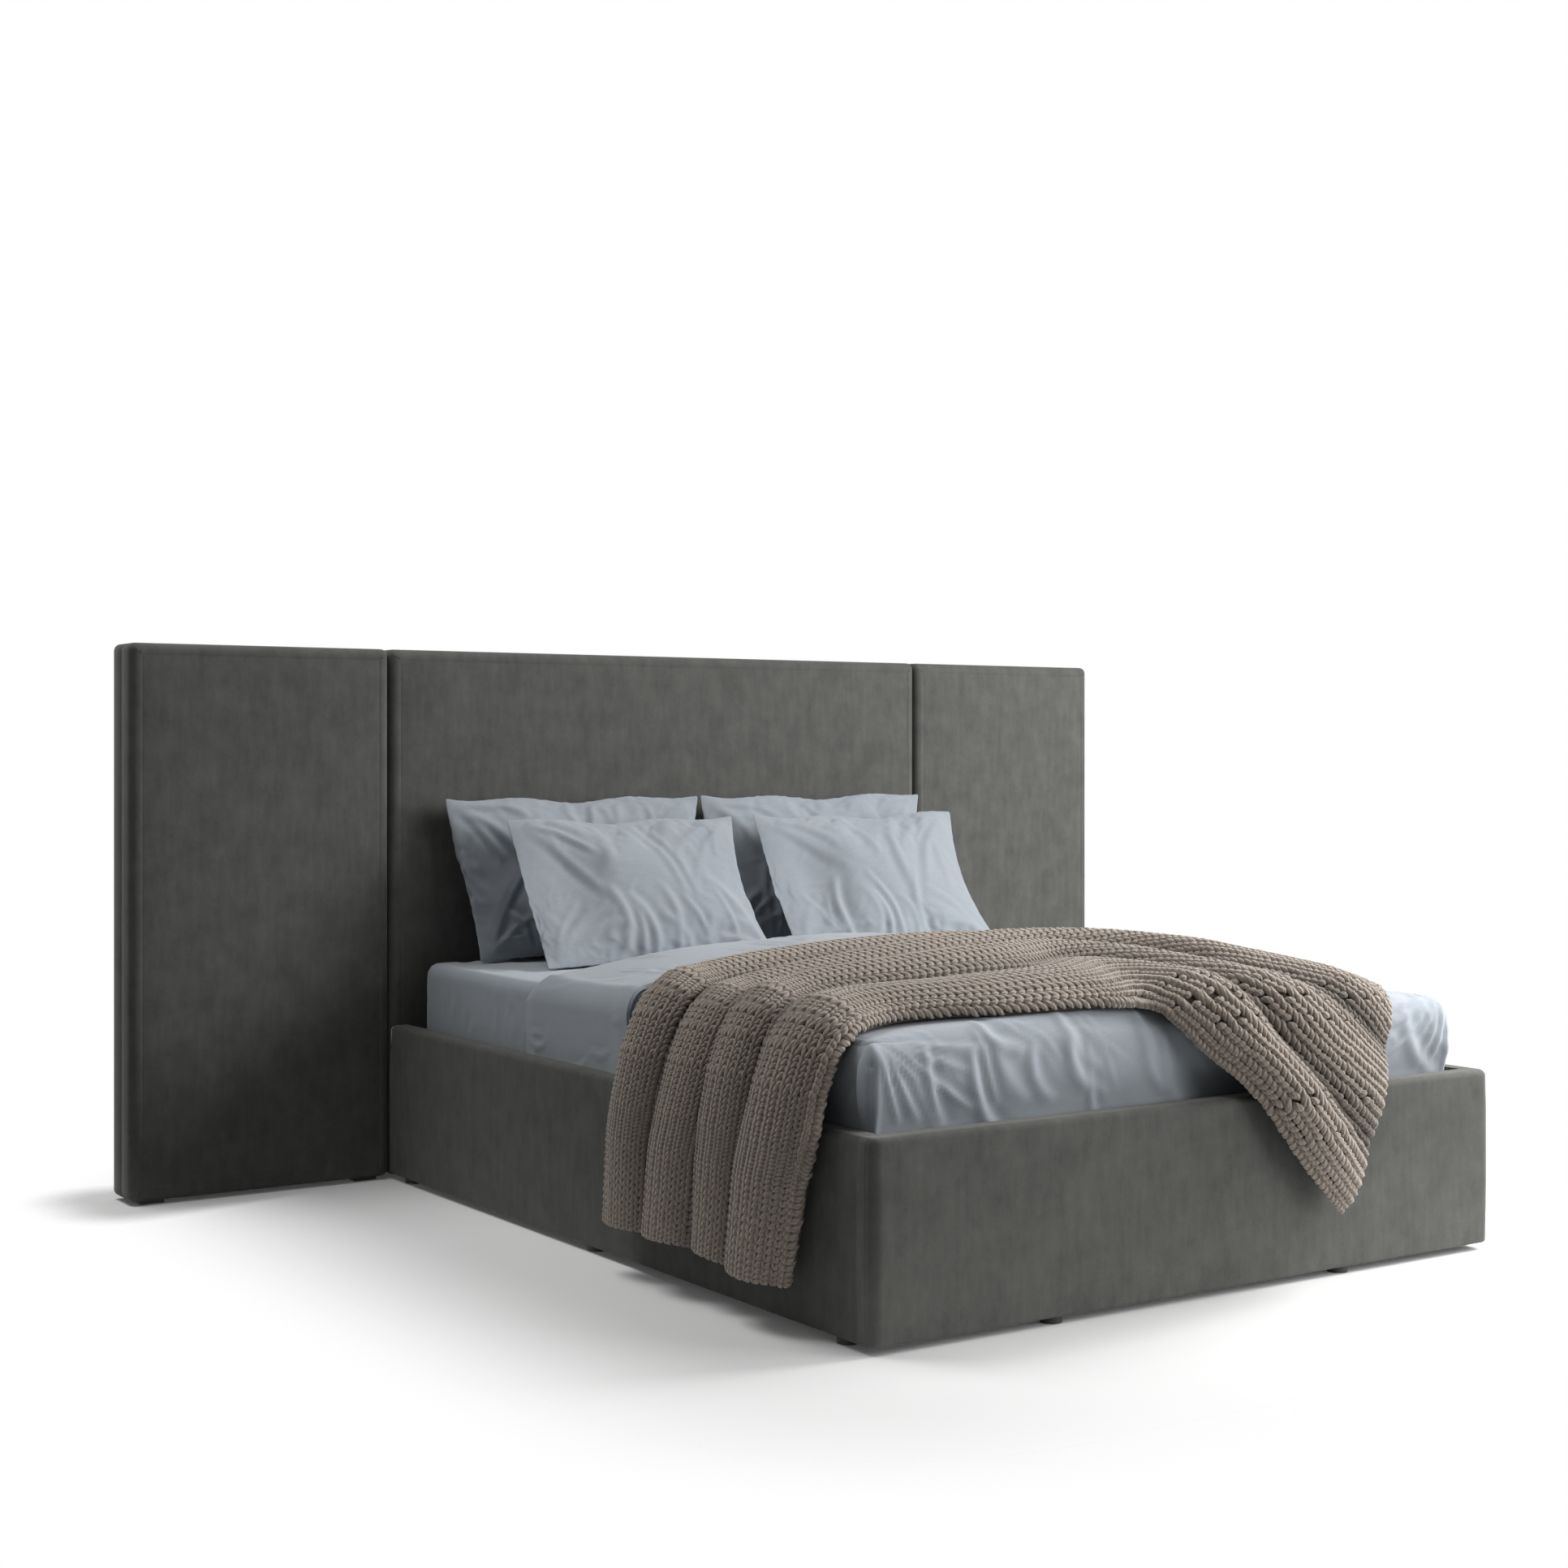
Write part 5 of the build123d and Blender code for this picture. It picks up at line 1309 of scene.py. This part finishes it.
def make_lamps(stage):
    """Three soft lamps that face one place."""
    target = Vector(stage.lamp_target)
    for name, place, power, size in (
        ("key_lamp", stage.key_place, stage.key_power, stage.key_size),
        ("side_lamp", stage.side_place, stage.side_power, stage.side_size),
        ("top_lamp", stage.top_place, stage.top_power, stage.top_size),
    ):
        deselect()
        bpy.ops.object.light_add(type="AREA", location=place)
        lamp = bpy.context.object
        lamp.name = name
        lamp.data.energy = power
        lamp.data.size = size
        lamp.rotation_euler = (target - lamp.location).to_track_quat("-Z", "Y").to_euler()


def make_camera(scene, stage):
    """The camera, which looks level and is shifted as a view camera is."""
    deselect()
    bpy.ops.object.camera_add(location=stage.camera_place,
                              rotation=(radians(90.0), 0.0, -stage.camera_turn))
    camera = bpy.context.object
    camera.name = "view"
    camera.data.sensor_width = 36.0
    camera.data.lens = stage.camera_lens
    camera.data.shift_y = stage.camera_shift
    scene.camera = camera


def make_stage(scene):
    """The floor, the white surround, the lamps and the camera."""
    stage = scene.bed_stage
    make_floor(stage)
    make_surround(scene, stage)
    make_lamps(stage)
    make_camera(scene, stage)
    scene.view_settings.view_transform = "Standard"


# Settings

def length(name, description, default, **more):
    """A size in metres."""
    return FloatProperty(name=name, description=description, default=default, unit="LENGTH", precision=4, **more)


def colour(name, description, default):
    """A colour that a user can change."""
    return FloatVectorProperty(name=name, description=description, default=default, size=3, subtype="COLOR",
                               min=0.0, max=1.0)


def number(name, description, default, **more):
    """A plain number."""
    return FloatProperty(name=name, description=description, default=default, **more)


def spot(name, description, default):
    """A place in the scene."""
    return FloatVectorProperty(name=name, description=description, default=default, subtype="TRANSLATION",
                               unit="LENGTH")


class BedCloth(PropertyGroup):
    """Upholstery sizes and the colours of the cloths, with darker and lighter copies of them as painted shade and
    painted light.
    """
    upholstery: colour("Upholstery", "Colour of the upholstery cloth", (0.112, 0.112, 0.105))
    bedding: colour("Bedding", "Colour of the bed linen", (0.345, 0.378, 0.415))
    throw: colour("Throw", "Colour of the throw's yarn", (0.355, 0.300, 0.252))
    # Painted shade: the velvet of the panels and side rails as a darker share of the foot rail's colour
    upholstery_painted_shade: number("Upholstery painted shade", "Tone of the panels and side rails beside the foot rail's", 0.80, min=0.1, max=1.5)
    # Painted shade: the pillows' linen as a darker share of the sheet's colour
    pillow_painted_shade: number("Pillow painted shade", "Tone of the pillows beside the sheet's", 0.84, min=0.1, max=1.5)
    # Painted light: the duvet's linen as a lighter share of the sheet's colour
    duvet_painted_light: number("Duvet painted light", "Tone of the duvet beside the sheet's", 1.2, min=0.1, max=1.5)
    panel_corner: length("Panel corner", "Radius of a headboard panel's corners", 0.018)
    panel_edge: length("Panel edge", "Radius of a headboard panel's padded front edge", 0.024)
    panel_crown: length("Panel crown", "How far a headboard panel's padding swells", 0.004)
    panel_mesh: length("Panel mesh", "Distance between cuts over a headboard panel", 0.06)
    wrap: length("Wrap", "How far a cover's back lies outside the boards that it wraps", 0.0015)
    border_line: length("Border line", "Distance of the stitched border from a panel's edge", 0.030)
    seam_width: length("Seam width", "Half the width of a seam's groove", 0.004)
    seam_depth: length("Seam depth", "Depth of a seam's groove", 0.0011)
    side_seam: number("Side seam", "Where the seam lies in a panel's depth", 0.56, min=0.1, max=0.9)
    rail_edge: length("Rail edge", "Radius of a rail's top edge", 0.014)
    rail_corner: length("Rail corner", "Radius of the foot rail's upright corners", 0.025)
    rail_head_radius: length("Rail head radius", "Radius of a side rail's top corner at the headboard", 0.008)
    rail_crown: length("Rail crown", "How far a rail's padding swells", 0.002)
    corner_seam: length("Corner seam", "Distance of the corner seam from the foot rail's face", 0.019)


class BedBedding(PropertyGroup):
    """Sizes of the sheet and the duvet."""
    seed: IntProperty(name="Seed", description="Changes where the creases lie", default=7)
    mattress_corner: length("Mattress corner", "Radius of the mattress's upright corners", 0.04)
    mattress_edge: length("Mattress edge", "Radius of the mattress's top and bottom edges", 0.024)
    sheet_corner: length("Sheet corner", "Radius of the sheeted mattress's upright corners", 0.045)
    sheet_mesh: length("Sheet mesh", "Distance between the sheet's mesh lines", 0.014)
    sheet_edge: length("Sheet edge", "Soft radius of the sheeted mattress's top edge", 0.026)
    duvet_edge: length("Duvet edge", "Soft radius of the duvet's top edge", 0.05)
    duvet_corner: length("Duvet corner", "Radius of the duvet's tucked corners", 0.014)
    duvet_mesh: length("Duvet mesh", "Distance between the duvet's mesh lines", 0.0075)
    crease: length("Crease height", "Height of the tallest creases", 0.007)
    foot_folds: IntProperty(name="Foot folds", description="Number of folds over the foot end", default=44)
    foot_bulge: length("Foot bulge", "How far the duvet swells over the foot rail", 0.012)
    turn_down: length("Turn-down", "Distance of the turned-down hem from the headboard", 1.13)
    turn_thickness: length("Turn-down thickness", "Thickness of the turned-down layer", 0.010)
    puff: length("Puff", "Height of the duvet's gentle hills", 0.003)


class BedPillows(PropertyGroup):
    """Sizes and places of the pillows."""
    height: length("Height", "Height of a pillow", 0.44)
    back_thickness: length("Back thickness", "Thickness of the back pillows", 0.165)
    front_thickness: length("Front thickness", "Thickness of the front pillows", 0.155)
    back_place: length("Back place", "Distance of the back pillows' foot from the headboard", 0.168)
    front_place: length("Front place", "Distance of the front pillows' foot from the headboard", 0.446)
    back_lean: number("Back lean", "How far the back pillows lean", radians(13), subtype="ANGLE")
    front_lean: number("Front lean", "How far the front pillows lean", radians(32), subtype="ANGLE")
    lift: length("Lift", "Gap between a pillow and the sheet", 0.002)
    crease: length("Crease height", "Height of a pillow's tallest creases", 0.0085)


class BedThrow(PropertyGroup):
    """Sizes of the knitted throw."""
    width: length("Width", "Flat width of the throw", 1.1)
    length: length("Length", "Flat length of the throw", 2.1)
    wales: IntProperty(name="Wales", description="Stitches across the throw", default=30)
    courses: IntProperty(name="Courses", description="Stitches along the throw", default=142)
    yarn: number("Yarn", "Radius of the yarn as a share of a stitch's width", 0.235)
    fold: number("Folds", "Depth of the folds, as a share of their full depth", 1.0)
    clearance: length("Clearance", "Height of the cloth over what it lies on", 0.006)
    seed: IntProperty(name="Seed", description="Changes how the stitches differ", default=5)


class BedStage(PropertyGroup):
    """Floor, lamps and camera."""
    floor_radius: length("Floor radius", "Radius of the floor", 3.6)
    floor_middle: spot("Floor middle", "Place of the floor's middle", (0.0, -1.2, 0.0))
    fade_start: length("Fade start", "Distance from the bed where the floor starts to fade out", 0.18)
    fade_end: length("Fade end", "Distance from the bed where the floor has faded out", 0.85)
    head_fade: number("Head fade", "How much sooner the floor fades out round the headboard", 3.5)
    floor_clear: number("Floor clear", "How far the floor lets the white surround show", 0.04, min=0.0, max=1.0)
    lamp_target: spot("Lamp target", "Place that the lamps face", (0.0, -1.065, 0.5))
    ambient: number("Ambient", "Strength of the surround's light", 0.11)
    key_place: spot("Key place", "Place of the main lamp", (2.4, -4.6, 1.6))
    key_power: number("Key power", "Power of the main lamp in watts", 85.0, unit="POWER")
    key_size: length("Key size", "Width of the main lamp", 2.6)
    side_place: spot("Side place", "Place of the side lamp", (2.8, -2.5, 2.0))
    side_power: number("Side power", "Power of the side lamp in watts", 150.0, unit="POWER")
    side_size: length("Side size", "Width of the side lamp", 1.6)
    top_place: spot("Top place", "Place of the lamp over the left side", (-2.2, 0.3, 4.8))
    top_power: number("Top power", "Power of that lamp in watts", 120.0, unit="POWER")
    top_size: length("Top size", "Width of that lamp", 2.4)
    camera_place: spot("Camera place", "Place of the camera", (-3.3347, -5.6583, 1.1113))
    camera_turn: number("Camera turn", "How far the camera is turned right", radians(33.585), subtype="ANGLE")
    camera_lens: number("Camera lens", "Focal length in millimetres", 53.01, unit="CAMERA")
    camera_shift: number("Camera shift", "Upright shift of the picture", -0.0193)


# Operators

class BED_OT_finishes(Operator):
    """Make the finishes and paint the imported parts"""
    bl_idname = "bed.finishes"
    bl_label = "Finishes"

    def execute(self, context):
        make_finishes(context.scene)
        return {"FINISHED"}


class BED_OT_headboard(Operator):
    """Make the three padded headboard panels"""
    bl_idname = "bed.headboard"
    bl_label = "Headboard"

    def execute(self, context):
        make_headboard(context.scene)
        return {"FINISHED"}


class BED_OT_rails(Operator):
    """Make the covers of the side rails and the foot rail"""
    bl_idname = "bed.rails"
    bl_label = "Rails"

    def execute(self, context):
        make_rails(context.scene)
        return {"FINISHED"}


class BED_OT_sheet(Operator):
    """Make the mattress and its fitted sheet"""
    bl_idname = "bed.sheet"
    bl_label = "Mattress and sheet"

    def execute(self, context):
        make_mattress(context.scene)
        make_sheet(context.scene)
        return {"FINISHED"}


class BED_OT_duvet(Operator):
    """Make the duvet"""
    bl_idname = "bed.duvet"
    bl_label = "Duvet"

    def execute(self, context):
        make_duvet(context.scene)
        return {"FINISHED"}


class BED_OT_turn_down(Operator):
    """Make the turned-down head end of the duvet"""
    bl_idname = "bed.turn_down"
    bl_label = "Turned-down duvet"

    def execute(self, context):
        make_turn_down(context.scene)
        return {"FINISHED"}


class BED_OT_pillows(Operator):
    """Make the four pillows"""
    bl_idname = "bed.pillows"
    bl_label = "Pillows"

    def execute(self, context):
        make_pillows(context.scene)
        return {"FINISHED"}


class BED_OT_throw(Operator):
    """Make the knitted throw"""
    bl_idname = "bed.throw"
    bl_label = "Throw"

    def execute(self, context):
        make_throw(context.scene)
        return {"FINISHED"}


class BED_OT_stage(Operator):
    """Make the floor, the lamps and the camera"""
    bl_idname = "bed.stage"
    bl_label = "Stage"

    def execute(self, context):
        make_stage(context.scene)
        return {"FINISHED"}


class BED_PT_panel(Panel):
    """Lists the bed's settings and the steps that make it"""
    bl_idname = "BED_PT_panel"
    bl_label = "Bed"
    bl_space_type = "VIEW_3D"
    bl_region_type = "UI"
    bl_category = "Bed"

    def draw(self, context):
        layout = self.layout
        for group_name in GROUPS:
            box = layout.box()
            group = getattr(context.scene, group_name)
            for name in group.__annotations__:
                box.prop(group, name)
        for operator in OPERATORS:
            layout.operator(operator.bl_idname)


GROUPS = {
    "bed_cloth": BedCloth,
    "bed_bedding": BedBedding,
    "bed_pillows": BedPillows,
    "bed_throw": BedThrow,
    "bed_stage": BedStage,
}
OPERATORS = (BED_OT_stage, BED_OT_finishes, BED_OT_headboard, BED_OT_rails, BED_OT_sheet, BED_OT_duvet,
             BED_OT_turn_down, BED_OT_pillows, BED_OT_throw)


def register():
    """Registers the settings, the operators and the panel."""
    for group in GROUPS.values():
        bpy.utils.register_class(group)
    for operator in OPERATORS:
        bpy.utils.register_class(operator)
    bpy.utils.register_class(BED_PT_panel)
    for name, group in GROUPS.items():
        setattr(bpy.types.Scene, name, PointerProperty(type=group))


def unregister():
    """Takes them away again."""
    for name in GROUPS:
        delattr(bpy.types.Scene, name)
    bpy.utils.unregister_class(BED_PT_panel)
    for operator in reversed(OPERATORS):
        bpy.utils.unregister_class(operator)
    for group in reversed(list(GROUPS.values())):
        bpy.utils.unregister_class(group)


def main():
    """Makes the whole scene."""
    register()
    for step in ("stage", "finishes", "headboard", "rails", "sheet", "duvet", "turn_down", "pillows", "throw"):
        getattr(bpy.ops.bed, step)()


if __name__ == "__main__":
    main()
